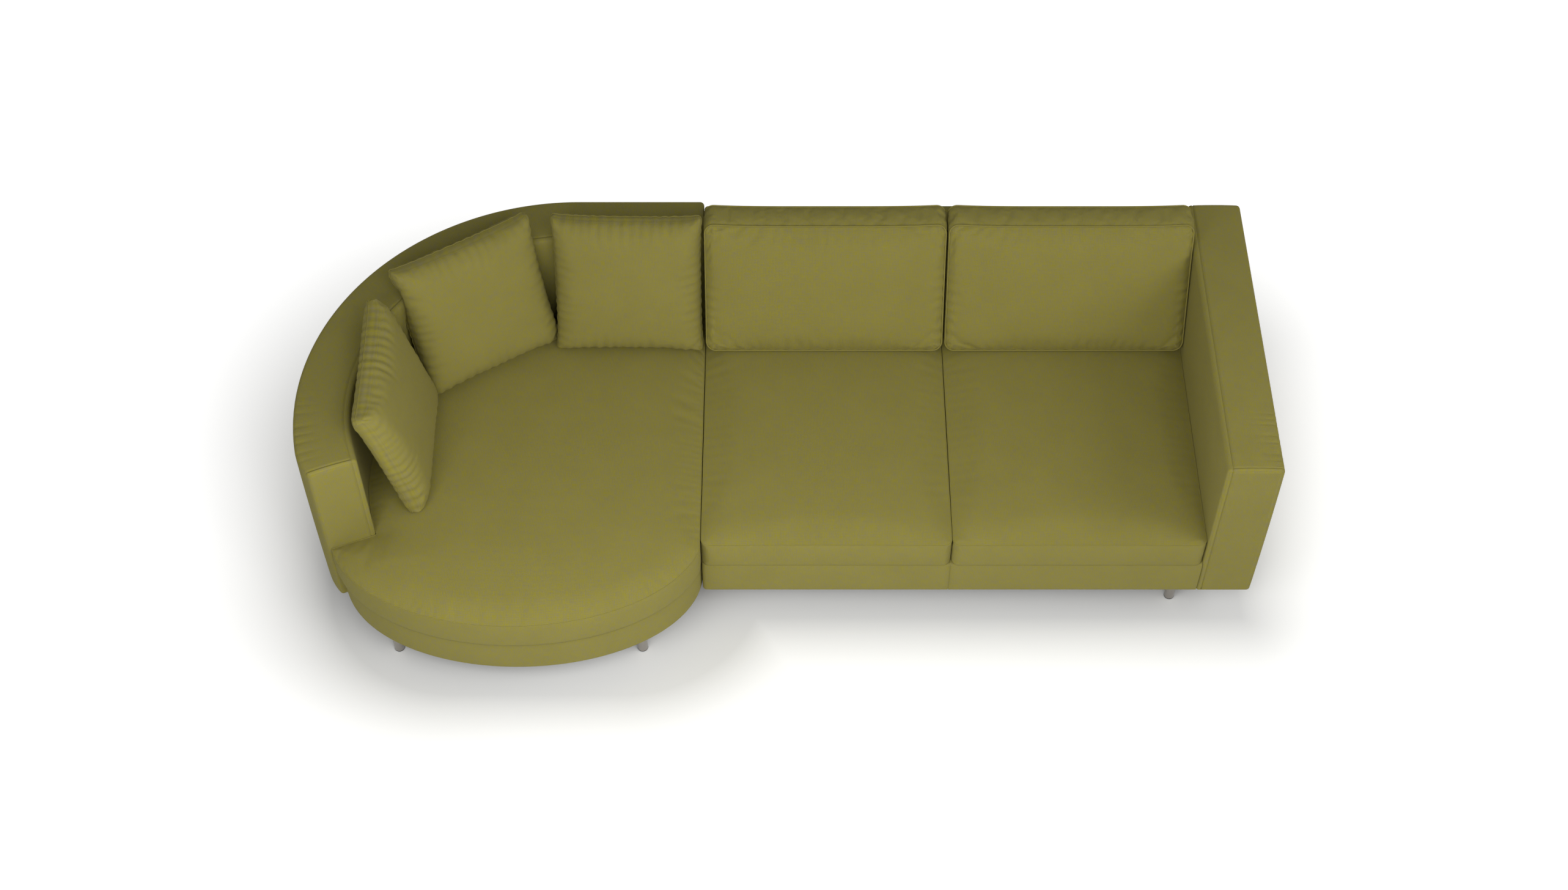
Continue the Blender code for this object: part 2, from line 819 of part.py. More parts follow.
def add_shell():
    pocket = shell_outline(foam_thickness)
    pocket_top = arm_top - foam_thickness
    rings = padded_wall(shell_outline, arm_top, pocket, pocket_top)
    add_loft("shell_upholstery", rings, OLIVE)
    plate = shell_outline(foam_thickness + fit)
    high = pocket_top - fit
    for name, bottom in (
        ("shell_bottom_plate", base_bottom),
        ("shell_top_plate", high - plate_thickness),
    ):
        rings = [at_height(plate, bottom), at_height(plate, bottom + plate_thickness)]
        add_loft(name, rings, PLYWOOD)
    low_end = base_bottom + plate_thickness + fit
    high_end = high - plate_thickness - fit
    inner = shell_inner_radius + foam_thickness + 2 * fit
    outer = (shell_radius - foam_thickness) * math.cos(arc_step / 2) - 2 * fit
    half = stud_width / 2
    margin = (foam_thickness + stud_width) / inner
    angles = spread(math.pi / 2, shell_end_angle - margin, round_stud_count - 1)
    centre = Vector((shell_x, shell_y))
    for index, angle in enumerate(angles):
        across = Vector((math.cos(angle), math.sin(angle)))
        along = Vector((-across[1], across[0])) * half
        reach = math.sqrt(outer**2 - half**2)
        outline = [
            centre + across * inner - along,
            centre + across * reach - along,
            centre + across * reach + along,
            centre + across * inner + along,
        ]
        rings = [at_height(outline, low_end), at_height(outline, high_end)]
        add_loft(f"shell_stud_{index + 1}", rings, TIMBER)
    x = joint_x - foam_thickness - wall_corner_radius - stud_width
    add_block(
        "shell_stud_joint", x, x + stud_width, shell_y + inner, shell_y + outer, low_end, high_end
    )


def oval_band(section, start, end):
    """A strip that follows the half-oval front, with a given cross-section."""
    angles = [angle for angle in oval_angles(0.0, fit) if start < angle < end]
    return [
        [(*oval_point(angle, depth), height) for depth, height in section]
        for angle in (start, *angles, end)
    ]


def bent_edge_x(y, inset):
    """Where a line across the seat at y meets the wall's inner face, drawn in by inset."""
    return shell_x - math.sqrt((shell_inner_radius - inset) ** 2 - (y - shell_y) ** 2)


def oval_edge_y(x, inset):
    """Where a line along the seat at x meets the half-oval front, drawn in by inset."""
    share = (x - oval_x) / (chaise_front_half_width - inset)
    return oval_y - (chaise_front_reach - inset) * math.sqrt(1 - share**2)


def oval_half_width(y, inset):
    """Half the width of the half-oval front at y, drawn in by inset; its full width behind that."""
    share = min(0.0, y - oval_y) / (chaise_front_reach - inset)
    return (chaise_front_half_width - inset) * math.sqrt(1 - share**2)


def rear_edge_y(x, inset):
    """Where a line along the seat at x meets the back wall's inner face, drawn in by inset."""
    radius = shell_inner_radius - inset
    return shell_y + math.sqrt(radius**2 - min(0.0, x - shell_x) ** 2)


def add_chaise_base():
    start = max(oval_angles(depth, fit)[0] for depth in (0.0, border_return))
    end = 2 * math.pi
    add_loft("chaise_front_border", oval_band(border_section(), start, end), OLIVE)
    front = front_foam + fit
    inner = front + bent_rail_thickness
    section = [
        (front, rail_bottom), (inner, rail_bottom), (inner, rail_top), (front, rail_top)
    ]
    add_loft("chaise_front_rail", oval_band(section, start, end), PLYWOOD)
    right = joint_x - unit_gap / 2
    rear = wall_inner_y - fit
    inner_rear = rear - rail_thickness
    inner_side = right - rail_thickness
    heights = (rail_bottom, rail_top)
    add_block("chaise_side_rail", inner_side, right, oval_y + fit, inner_rear - fit, *heights)
    add_block("chaise_rear_rail", shell_x + fit, right, inner_rear, rear, *heights)
    outer_radius = shell_inner_radius - fit
    inner_radius = outer_radius - bent_rail_thickness
    outer_line = corner_arc(outer_radius, shell_end_angle)
    inner_line = corner_arc(inner_radius, shell_end_angle)
    bent = [
        [(*outer, rail_bottom), (*inner, rail_bottom), (*inner, rail_top), (*outer, rail_top)]
        for outer, inner in zip(outer_line, inner_line)
    ]
    add_loft("chaise_bent_rail", bent, PLYWOOD)
    sag = shell_inner_radius * (1 - math.cos(arc_step / 2))
    bent_inset = fit + bent_rail_thickness + fit + sag
    y0, y1 = cross_rail_y, cross_rail_y + rail_thickness
    cross_start = max(bent_edge_x(y, bent_inset) for y in (y0, y1))
    add_block("chaise_cross_rail", cross_start, inner_side - fit, y0, y1, *heights)

    for name, (x, y) in zip(
        ("leg_block_chaise_left", "leg_block_chaise_right"), chaise_leg_places()
    ):
        half = block_size / 2
        x0, x1 = x - half, min(x + half, inner_side - fit)
        front_line = [
            (place, oval_edge_y(place, inner + fit + sag)) for place in spread(x0, x1, corner_steps)
        ]
        outline = [*front_line, (x1, y + half), (x0, y + half)]
        rings = [
            at_height(outline, base_bottom + cover_cloth + fit),
            at_height(outline, base_bottom + block_height),
        ]
        add_loft(name, rings, TIMBER)

    half = strap_width / 2
    left_wall = bent_edge_x(shell_y, bent_inset)
    columns = even_places(
        left_wall + chaise_strap_margin, inner_side - chaise_strap_margin / 2, strap_pitch
    )
    rows = even_places(
        oval_y - chaise_strap_margin, inner_rear - chaise_strap_margin, cross_strap_pitch
    )

    def ends_y(x):
        edges = (x - half, x + half)
        return (
            max(oval_edge_y(edge, front + sag) for edge in edges),
            min(rear_edge_y(edge, fit + sag) for edge in edges),
        )

    def ends_x(y):
        edges = (y - half, y + half)
        half_width = min(oval_half_width(edge, front + sag) for edge in edges)
        wall = max(bent_edge_x(edge, fit + sag) for edge in edges)
        return (max(wall, oval_x - half_width), min(right, oval_x + half_width))

    add_webbing("chaise_seat_webbing", columns, rows, ends_y, ends_x)
    deck = chaise_outline(border_return + soft_gap)
    rings = [at_height(deck, deck_bottom), at_height(deck, base_top)]
    add_loft("chaise_deck_cloth", rings, BLACK_CLOTH)
    cloth = chaise_footprint(bottom_cloth_margin)
    rings = [at_height(cloth, cloth_top - bottom_cloth), at_height(cloth, cloth_top)]
    add_loft("chaise_bottom_cloth", rings, BLACK_CLOTH)


# Legs and connector


def add_leg(name, x, y):
    """A tube welded under its plate, with a glide in its foot that has a hole in its middle."""
    count = 4 * (corner_steps + 1)
    half = plate_side / 2
    square = rounded_box(x - half, x + half, y - half, y + half, plate_corner_radius)

    def circle(radius, height):
        turn = 2 * math.pi / count
        first = -math.pi / 2 + turn / 2
        return [
            (x + radius * math.cos(first + turn * k), y + radius * math.sin(first + turn * k),
             height)
            for k in range(count)
        ]

    outer = leg_diameter / 2
    bore = outer - leg_wall
    hole = glide_hole_diameter / 2
    rings = [
        circle(bore, plate_bottom),
        circle(bore, glide_height + spigot_height),
        circle(hole, glide_height + spigot_height),
        circle(hole, 0.0),
        circle(outer - 2 * glide_lip, 0.0),
        circle(outer - glide_lip, glide_lip),
        circle(outer - glide_lip, glide_height),
        circle(outer, glide_height),
        circle(outer, plate_bottom),
        at_height(square, plate_bottom),
        at_height(square, plate_top),
    ]
    add_loft(name, rings, STEEL)


def chaise_leg_places():
    middle = shell_radius - shell_thickness / 2
    corner = 3 * math.pi / 4
    spread_x = chaise_front_half_width * chaise_leg_spread_share
    front_y = oval_y - chaise_front_reach * chaise_leg_reach_share
    return [
        (oval_x - chaise_leg_shift - spread_x, front_y),
        (oval_x - chaise_leg_shift + spread_x, front_y),
        (joint_x - block_size, shell_y + middle),
        (shell_x + middle * math.cos(corner), shell_y + middle * math.sin(corner)),
    ]


def add_legs():
    right = arm_inner_x - leg_inset_x
    left = joint_x + rail_thickness + block_size / 2
    rear = back_foot_y - rail_thickness - block_size / 2
    places = dict(
        zip(
            ("leg_front_right", "leg_rear_right", "leg_front_left", "leg_rear_left"),
            ((right, leg_inset_y), (right, rear), (left, hidden_leg_y), (left, rear)),
        )
    )
    places.update(
        zip(
            (
                "leg_chaise_front_left",
                "leg_chaise_front_right",
                "leg_chaise_rear_right",
                "leg_chaise_rear_left",
            ),
            chaise_leg_places(),
        )
    )
    for name, (x, y) in places.items():
        add_leg(name, x, y)


def add_connector():
    """A flat plate screwed under both units, which keeps them side by side."""
    outline = rounded_box(
        joint_x - connector_length / 2,
        joint_x + connector_length / 2,
        connector_y - connector_width / 2,
        connector_y + connector_width / 2,
        plate_corner_radius,
    )
    rings = [at_height(outline, plate_top - connector_thickness), at_height(outline, plate_top)]
    add_loft("unit_connector", rings, ZINC)


def add_cushions():
    left_seat = add_seat_cushion("seat_cushion_left", joint_x, seat_split_x)
    right_seat = add_seat_cushion("seat_cushion_right", seat_split_x, arm_inner_x)
    add_back_cushion("back_cushion_left", joint_x, seat_split_x, left_seat)
    add_back_cushion("back_cushion_right", seat_split_x, arm_inner_x, right_seat)
    chaise = add_chaise_cushion()
    for name, (across, along) in pillow_place_shares.items():
        add_pillow(
            name,
            shell_x + shell_inner_radius * across,
            shell_y + shell_inner_radius * along,
            math.radians(pillow_headings[name]),
            math.radians(pillow_leans[name]),
            chaise,
        )


clear_scene()
add_root()
add_sofa_base()
add_arm()
add_sofa_back()
add_shell()
add_chaise_base()
add_legs()
add_connector()
add_cushions()
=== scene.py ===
import json
import math

import bmesh
import bpy
import numpy as np
from mathutils import Matrix, Vector, noise
from mathutils.bvhtree import BVHTree
from mathutils.geometry import delaunay_2d_cdt


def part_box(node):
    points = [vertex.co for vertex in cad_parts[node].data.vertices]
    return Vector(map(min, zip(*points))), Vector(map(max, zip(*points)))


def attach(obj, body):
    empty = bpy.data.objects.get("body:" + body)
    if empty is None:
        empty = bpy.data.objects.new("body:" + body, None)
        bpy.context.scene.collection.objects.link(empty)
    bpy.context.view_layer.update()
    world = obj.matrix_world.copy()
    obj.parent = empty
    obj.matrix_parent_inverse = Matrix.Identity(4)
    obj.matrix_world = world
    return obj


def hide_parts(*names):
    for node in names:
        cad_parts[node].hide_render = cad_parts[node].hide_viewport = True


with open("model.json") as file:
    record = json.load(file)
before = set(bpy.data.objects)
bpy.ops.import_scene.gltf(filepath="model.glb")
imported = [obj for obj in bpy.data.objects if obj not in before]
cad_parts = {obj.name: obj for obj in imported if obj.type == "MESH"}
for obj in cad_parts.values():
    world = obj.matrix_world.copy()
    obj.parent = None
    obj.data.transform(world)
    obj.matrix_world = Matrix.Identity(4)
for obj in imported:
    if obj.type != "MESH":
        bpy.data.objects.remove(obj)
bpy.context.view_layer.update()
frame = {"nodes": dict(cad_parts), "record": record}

# Frames of the two units
# Sawn pine rails, posts and blocks with flat and bent birch plywood, glued, screwed and stapled.
# The upholstery hides them, so the CAD nodes keep their shapes and get the grain of each board.


def linear(code):
    """Linear red, green, blue and alpha of an sRGB hex colour."""
    shares = [int(code[place : place + 2], 16) / 255 for place in (1, 3, 5)]
    return [s / 12.92 if s <= 0.04045 else ((s + 0.055) / 1.055) ** 2.4 for s in shares] + [1.0]


def add(tree, kind, sockets=None, **settings):
    """Adds a shader node; a socket is given a value, or is linked to another node's output."""
    made = tree.nodes.new("ShaderNode" + kind)
    for key, value in settings.items():
        setattr(made, key, value)
    for key, value in (sockets or {}).items():
        if isinstance(value, bpy.types.NodeSocket):
            tree.links.new(value, made.inputs[key])
        else:
            made.inputs[key].default_value = value
    return made


def start_material(name, **constants):
    """A material, its node tree and its shader, with the shader's plain values set."""
    material = bpy.data.materials.new(name)
    material.use_nodes = True
    tree = material.node_tree
    shader = tree.nodes["Principled BSDF"]
    for key, value in constants.items():
        shader.inputs[key.replace("_", " ")].default_value = value
    return material, tree, shader


def dress(node, material, slot):
    """Gives a CAD node that stays in sight its finish."""
    part = frame["nodes"][node]
    part.data.materials.clear()
    part.data.materials.append(material)


grain_stretch = 25


def make_board(name, light, dark, band_spacing, wander, axis, roughness):
    """Sawn or sanded wood: darker bands at a spacing, drawn out along the board."""
    material, tree, shader = start_material(name, Roughness=roughness)
    place = add(tree, "TexCoord").outputs["Object"]
    scale = [1 / band_spacing] * 3
    scale[axis] /= grain_stretch
    along = add(tree, "Mapping", {"Vector": place, "Scale": scale}).outputs["Vector"]
    drift = add(tree, "TexNoise", {"Vector": along, "Scale": 0.3, "Detail": 4.0, "Distortion": wander})
    fibre = add(tree, "TexNoise", {"Vector": along, "Scale": 3.0, "Detail": 2.0})
    ramp = add(tree, "ValToRGB", {"Fac": drift.outputs["Fac"]})
    ramp.color_ramp.elements[0].position = 0.3
    ramp.color_ramp.elements[0].color = linear(light)
    ramp.color_ramp.elements[1].position = 0.7
    ramp.color_ramp.elements[1].color = linear(dark)
    tree.links.new(ramp.outputs["Color"], shader.inputs["Base Color"])
    bump = add(tree, "Bump", {"Height": fibre.outputs["Fac"], "Distance": 0.0003, "Strength": 0.4})
    tree.links.new(bump.outputs["Normal"], shader.inputs["Normal"])
    return material


def longest_side(node):
    """Axis along which a board is longest."""
    low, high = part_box(node)
    return max(range(3), key=lambda axis: high[axis] - low[axis])


# Pine: pale yellow with browner latewood lines 3 to 4 mm apart. Birch plywood: paler, finer figure.
pine = [
    make_board(f"sawn_pine_{axis}", "#dfc494", "#c79f68", 0.0035, 1.5, place, 0.65)
    for place, axis in enumerate("xyz")
]
birch = [
    make_board(f"birch_plywood_{axis}", "#e4cda2", "#d3b382", 0.006, 2.5, place, 0.5)
    for place, axis in enumerate("xyz")
]
slot_of = {row["node"]: row["material_slot"] for row in frame["record"]["subparts"]}
for node, slot in slot_of.items():
    if slot == "timber":
        dress(node, pine[longest_side(node)], slot)
    if slot == "plywood":
        dress(node, birch[longest_side(node)], slot)

# Legs
# Round steel tube 30 mm across, ground and nickel plated, welded under a square plate that four
# screws hold to the unit. A black nylon glide is pressed into each foot.


def make_plated_steel():
    """Bright nickel plate: near-mirror, softened by polishing marks round the tube."""
    material, tree, shader = start_material(
        "plated_steel", Base_Color=linear("#a8a39c"), Metallic=1.0
    )
    place = add(tree, "TexCoord").outputs["Object"]
    marks = add(tree, "Mapping", {"Vector": place, "Scale": (20, 20, 1200)}).outputs["Vector"]
    grain = add(tree, "TexNoise", {"Vector": marks, "Scale": 1.0, "Detail": 2.0}).outputs["Fac"]
    rough = add(tree, "MapRange", {"Value": grain, "To Min": 0.10, "To Max": 0.22})
    tree.links.new(rough.outputs["Result"], shader.inputs["Roughness"])
    bump = add(tree, "Bump", {"Height": grain, "Distance": 0.00005, "Strength": 0.2})
    tree.links.new(bump.outputs["Normal"], shader.inputs["Normal"])
    return material


def make_zinc():
    """Zinc-plated pressed steel: grey and satin, in faint crystal patches 4 mm wide."""
    material, tree, shader = start_material(
        "zinc_plated_steel", Base_Color=linear("#a9abad"), Metallic=1.0
    )
    place = add(tree, "TexCoord").outputs["Object"]
    patch = add(tree, "TexVoronoi", {"Vector": place, "Scale": 250.0}).outputs["Distance"]
    rough = add(tree, "MapRange", {"Value": patch, "To Min": 0.34, "To Max": 0.5})
    tree.links.new(rough.outputs["Result"], shader.inputs["Roughness"])
    return material


def make_nylon():
    """Moulded black nylon: matt, with a fine sparked mould texture."""
    material, tree, shader = start_material(
        "moulded_nylon", Base_Color=linear("#1c1c1d"), Roughness=0.5
    )
    place = add(tree, "TexCoord").outputs["Object"]
    grain = add(tree, "TexNoise", {"Vector": place, "Scale": 1600.0, "Detail": 2.0})
    bump = add(tree, "Bump", {"Height": grain.outputs["Fac"], "Distance": 0.0001, "Strength": 0.4})
    tree.links.new(bump.outputs["Normal"], shader.inputs["Normal"])
    return material


def set_up(name, data):
    """An object of the scene that holds this mesh, lamp or camera."""
    made = bpy.data.objects.new(name, data)
    bpy.context.scene.collection.objects.link(made)
    return made


def turned(name, outline, sides, places, material):
    """Like turned pieces in one mesh, one at each place; outline points are (radius, height)."""
    corners, faces = [], []
    turns = [2 * math.pi * step / sides for step in range(sides)]
    for x, y, z in places:
        first = len(corners)
        for radius, height in outline:
            corners += [(x + radius * math.cos(t), y + radius * math.sin(t), z + height) for t in turns]
        for level in range(len(outline) - 1):
            low = first + level * sides
            for step in range(sides):
                beside = (step + 1) % sides
                faces.append((low + step, low + beside, low + sides + beside, low + sides + step))
        last = first + (len(outline) - 1) * sides
        faces.append([first + step for step in reversed(range(sides))])
        faces.append([last + step for step in range(sides)])
    mesh = bpy.data.meshes.new(name)
    mesh.from_pydata(corners, [], faces)
    mesh.materials.append(material)
    mesh.shade_smooth()
    mesh.set_sharp_from_angle(angle=turned_edge)
    piece = set_up(name, mesh)
    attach(piece, "frame")


steel = make_plated_steel()
zinc = make_zinc()
nylon = make_nylon()
leg_middles = []
for node, slot in slot_of.items():
    if slot == "leg_steel":
        dress(node, steel, slot)
        low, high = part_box(node)
        leg_middles.append((low.lerp(high, 0.5), high.z))
turned_edge = math.radians(35)
plate_thickness = 0.003
screw_reach = 0.0245
plate_under = leg_middles[0][1] - plate_thickness
weld = [(0.0149, -0.0032), (0.0160, -0.0026), (0.0176, -0.0014), (0.0186, 0.0), (0.0149, 0.0)]
weld_places = [(middle.x, middle.y, plate_under) for middle, _ in leg_middles]
turned("leg_welds", weld, 32, weld_places, steel)
screw_head = [(0.0012, -0.0012), (0.0016, -0.0024), (0.0032, -0.0022), (0.0042, -0.0012), (0.0044, 0.0)]
screw_places = [
    (middle.x + across * screw_reach, middle.y + along * screw_reach, plate_under)
    for middle, _ in leg_middles
    for across in (-1, 1)
    for along in (-1, 1)
]
turned("leg_screws", screw_head, 20, screw_places, zinc)
glide = [(0.0052, 0.0002), (0.0135, 0.0002), (0.0146, 0.0010), (0.0152, 0.0028), (0.0152, 0.0036)]
glide_places = [(middle.x, middle.y, 0.0) for middle, _ in leg_middles]
turned("leg_glides", glide, 40, glide_places, nylon)

# Connector of the two units
# A flat zinc-plated steel strap under the joint. One hexagon bolt goes up through it into the rear
# rail of each unit and pulls the two together.

dress("unit_connector", zinc, "zinc_plate")
low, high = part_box("unit_connector")
bolt_reach = 0.050
bolt_head = [(0.0060, -0.0046), (0.0066, -0.0040), (0.0068, 0.0)]
bolt_places = [
    ((low.x + high.x) / 2 + across * bolt_reach, (low.y + high.y) / 2, low.z) for across in (-1, 1)
]
turned("connector_bolts", bolt_head, 6, bolt_places, zinc)

# Seat webbing
# Elastic webbing 60 mm wide, woven of rubber and polypropylene threads in brown-black, interlaced
# both ways and stapled to the rails.


def make_webbing():
    """Ribbed along its length: the ribs are 3 mm apart and browner between."""
    material, tree, shader = start_material("elastic_webbing", Roughness=0.85)
    place = add(tree, "TexCoord").outputs["Object"]
    ribs = add(tree, "TexChecker", {"Vector": place, "Scale": 330.0}).outputs["Fac"]
    shade = add(tree, "ValToRGB", {"Fac": ribs})
    shade.color_ramp.elements[0].color = linear("#393633")
    shade.color_ramp.elements[1].color = linear("#574f45")
    tree.links.new(shade.outputs["Color"], shader.inputs["Base Color"])
    bump = add(tree, "Bump", {"Height": ribs, "Distance": 0.0004, "Strength": 0.5})
    tree.links.new(bump.outputs["Normal"], shader.inputs["Normal"])
    return material


webbing = make_webbing()
for node in ("sofa_seat_webbing", "chaise_seat_webbing"):
    dress(node, webbing, "webbing")

# Deck and underside linings
# Black spunbonded cloth. One sheet is stapled over the webbing below the cushions, and one closes
# each unit's underside, where it sags a little between the staples.

unit_gap = 0.0012
corner_radius = 0.7375
wall_thickness = 0.154
wall_turn = math.radians(111.8)
oval_reach = 0.3108
oval_setback = 0.0385
oval_offset = 0.0157
joint_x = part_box("sofa_front_border")[0].x - unit_gap / 2
base_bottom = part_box("sofa_front_border")[0].z
base_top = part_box("sofa_front_border")[1].z
wall_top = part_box("shell_upholstery")[1].z
corner_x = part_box("shell_upholstery")[0].x + corner_radius
corner_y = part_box("shell_upholstery")[1].y - corner_radius
inner_radius = corner_radius - wall_thickness
end_angle = math.pi / 2 + wall_turn
oval_half_width = (joint_x - corner_x + corner_radius) / 2 - oval_setback
oval_x = joint_x - oval_half_width
oval_y = corner_y + inner_radius * math.sin(end_angle) + oval_offset
oval_length = 1.35
lining_spacing = 0.030
lining_clearance = 0.0003
staple_reach = 0.1
cloth_shift = 7


def bend(radius, end, spacing):
    """Points round the chaise unit's corner, from its straight back to an angle."""
    turns = np.linspace(math.pi / 2, end, round((end - math.pi / 2) * radius / spacing) + 1)
    return np.stack([corner_x + radius * np.cos(turns), corner_y + radius * np.sin(turns)], 1)


def oval(inset, distance, spacing):
    """Points along the half-oval front, from a line that far before the wall's end face."""
    radius_x, radius_y = oval_half_width - inset, oval_reach - inset
    face = end_angle + math.pi / 2
    along = (math.cos(face) * radius_x, math.sin(face) * radius_y)
    rest = distance - math.cos(face) * (oval_x - corner_x) - math.sin(face) * (oval_y - corner_y)
    start = math.atan2(along[1], along[0]) - math.acos(rest / math.hypot(*along))
    turns = np.linspace(start % (2 * math.pi), 2 * math.pi, round(oval_length / spacing) + 1)
    return np.stack([oval_x + radius_x * np.cos(turns), oval_y + radius_y * np.sin(turns)], 1)


def chaise_outline(radius, inset, front_inset, before_face, spacing):
    """Half-oval front, straight side at the joint, and a rear that turns the corner at a radius.

    It ends before_face short of the plane of the wall's end face.
    """
    right = joint_x - unit_gap / 2 - inset
    front = oval(front_inset, before_face, spacing)
    front[:, 0] = np.minimum(front[:, 0], right)
    rear = bend(radius, end_angle + math.asin(before_face / radius), spacing)
    return np.concatenate([front, [(right, corner_y + radius)], rear])


def chaise_plan(inset, overhang, spacing):
    """Plan of the chaise's seat space inside the wall, drawn in by inset."""
    return chaise_outline(inner_radius - inset, inset, inset - overhang, inset, spacing)


def unit_plan(inset, spacing):
    """Plan of the whole chaise unit, drawn in by inset."""
    return chaise_outline(corner_radius - inset, inset, inset, -inset, spacing)


def box_plan(node):
    """Plan of a node's box."""
    low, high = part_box(node)
    return np.array([(low.x, low.y), (high.x, low.y), (high.x, high.y), (low.x, high.y)])


def spaced(outline, spacing):
    """The same closed outline with evenly spaced points."""
    line = np.concatenate([outline, outline[:1]])
    lengths = lengths_along(line)
    at = np.linspace(0, lengths[-1], max(4, round(lengths[-1] / spacing)) + 1)[:-1]
    return np.stack([np.interp(at, lengths, line[:, axis]) for axis in range(line.shape[1])], 1)


def lengths_along(line):
    """Length from the first point of an open line to each point."""
    return np.concatenate([[0], np.cumsum(np.linalg.norm(np.diff(line, axis=0), axis=1))])


def inside(outline, points):
    """Which points lie inside a closed outline."""
    x, y = points[:, 0], points[:, 1]
    within = np.zeros(len(points), bool)
    for (x0, y0), (x1, y1) in zip(outline, np.roll(outline, -1, axis=0)):
        if y0 != y1:
            within ^= ((y0 > y) != (y1 > y)) & (x < x0 + (x1 - x0) * (y - y0) / (y1 - y0))
    return within


def distance_to(outline, points):
    """Least distance of each point to a closed outline."""
    least = np.full(len(points), np.inf)
    for start, end in zip(outline, np.roll(outline, -1, axis=0)):
        span = end - start
        share = np.clip((points - start) @ span / max(span @ span, 1e-12), 0, 1)
        least = np.minimum(least, np.linalg.norm(points - start - share[:, None] * span, axis=1))
    return least


def outward_of(rim):
    """Directions square to a closed rim, away from the panel."""
    ahead = np.roll(rim, -1, axis=0) - np.roll(rim, 1, axis=0)
    ahead /= np.linalg.norm(ahead, axis=1)[:, None]
    return np.stack([ahead[:, 1], -ahead[:, 0]], 1)


def cut_panel(outline, spacing, hems=()):
    """A panel of triangles cut to an outline, with rows of points at the hems' depths in from it.

    Returns its points, its faces and its rim in order.
    """
    rim = spaced(outline, spacing * (0.7 if hems else 1))
    (x0, y0), (x1, y1) = rim.min(0), rim.max(0)
    grid = np.array([
        (x + spacing / 2 * (row % 2), y)
        for row, y in enumerate(np.arange(y0, y1, spacing * math.sqrt(0.75)))
        for x in np.arange(x0, x1, spacing)
    ])
    grid = grid[inside(rim, grid)]
    grid = grid[distance_to(rim, grid) > spacing * 0.6 + max(hems, default=0)]
    for depth in hems:
        hem = rim - outward_of(rim) * depth
        hem = hem[inside(rim, hem)]
        grid = np.concatenate([grid, hem[distance_to(rim, hem) > depth * 0.9]])
    points = [Vector(point) for point in (*rim, *grid)]
    edges = [(index, (index + 1) % len(rim)) for index in range(len(rim))]
    made = delaunay_2d_cdt(points, edges, [list(range(len(rim)))], 1, 1e-6)
    return np.array([tuple(point) for point in made[0]]), made[2], np.arange(len(rim))


def raise_mesh(name, corners, faces, uvs, material):
    """A smooth piece, its normals outward. Its UVs, in metres, are its own place on the cloth."""
    mesh = bpy.data.meshes.new(name)
    mesh.from_pydata(np.asarray(corners).tolist(), [], [[int(i) for i in face] for face in faces])
    cut_from = np.asarray(corners[0][:2]) * cloth_shift
    layer = mesh.uv_layers.new(name="UVMap")
    layer.data.foreach_set("uv", (np.asarray(uvs) + cut_from).astype(np.float32).ravel())
    build = bmesh.new()
    build.from_mesh(mesh)
    bmesh.ops.remove_doubles(build, verts=build.verts, dist=1e-5)
    bmesh.ops.recalc_face_normals(build, faces=build.faces)
    build.to_mesh(mesh)
    build.free()
    mesh.materials.append(material)
    mesh.shade_smooth()
    return set_up(name, mesh)


def make_spunbond():
    """Spunbonded polypropylene: matt black fibres with bonding points drawn 2 mm apart."""
    material, tree, shader = start_material("spunbonded_cloth", Roughness=0.9)
    place = add(tree, "TexCoord").outputs["Object"]
    bonds = add(tree, "TexVoronoi", {"Vector": place, "Scale": 500.0, "Randomness": 0.15})
    fibres = add(tree, "TexNoise", {"Vector": place, "Scale": 90.0, "Detail": 6.0})
    shade = add(tree, "ValToRGB", {"Fac": fibres.outputs["Fac"]})
    shade.color_ramp.elements[0].color = linear("#19191b")
    shade.color_ramp.elements[1].color = linear("#2d2d30")
    tree.links.new(shade.outputs["Color"], shader.inputs["Base Color"])
    bump = add(tree, "Bump", {"Height": bonds.outputs["Distance"], "Distance": 0.0003, "Strength": 0.6})
    tree.links.new(bump.outputs["Normal"], shader.inputs["Normal"])
    return material


spunbond = make_spunbond()


def add_lining(name, node, plan, height, sag):
    """One stretched sheet that replaces a CAD lining, slack by sag away from its stapled edge."""
    points, faces, _ = cut_panel(plan, lining_spacing)
    slack = sag * (1 - np.exp(-distance_to(plan, points) / staple_reach))
    slack *= [0.8 + 0.4 * noise.noise(Vector((x * 9, y * 9, 2))) for x, y in points]
    corners = np.column_stack([points, height - slack])
    piece = raise_mesh(name, corners, faces, [points[i] for face in faces for i in face], spunbond)
    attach(piece, "frame")
    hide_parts(node)


deck_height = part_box("sofa_deck_cloth")[1].z - lining_clearance
under_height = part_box("sofa_bottom_cloth")[1].z
deck_sag = 0.0005
under_sag = 0.003
deck_margin = 0.0425
under_margin = 0.015
add_lining(
    "sofa_deck_lining", "sofa_deck_cloth", box_plan("sofa_deck_cloth"), deck_height, deck_sag,
)
add_lining(
    "sofa_under_lining", "sofa_bottom_cloth", box_plan("sofa_bottom_cloth"), under_height,
    under_sag,
)
add_lining(
    "chaise_deck_lining", "chaise_deck_cloth", chaise_plan(deck_margin, 0.0, lining_spacing),
    deck_height, deck_sag,
)
add_lining(
    "chaise_under_lining", "chaise_bottom_cloth", unit_plan(under_margin, lining_spacing),
    under_height, under_sag,
)

# Front borders of the two units
# The upholstery fabric over 12 mm of foam, pulled over the front rail and stapled on its top and
# under its foot. The straight one has a vertical seam where the two seats meet.


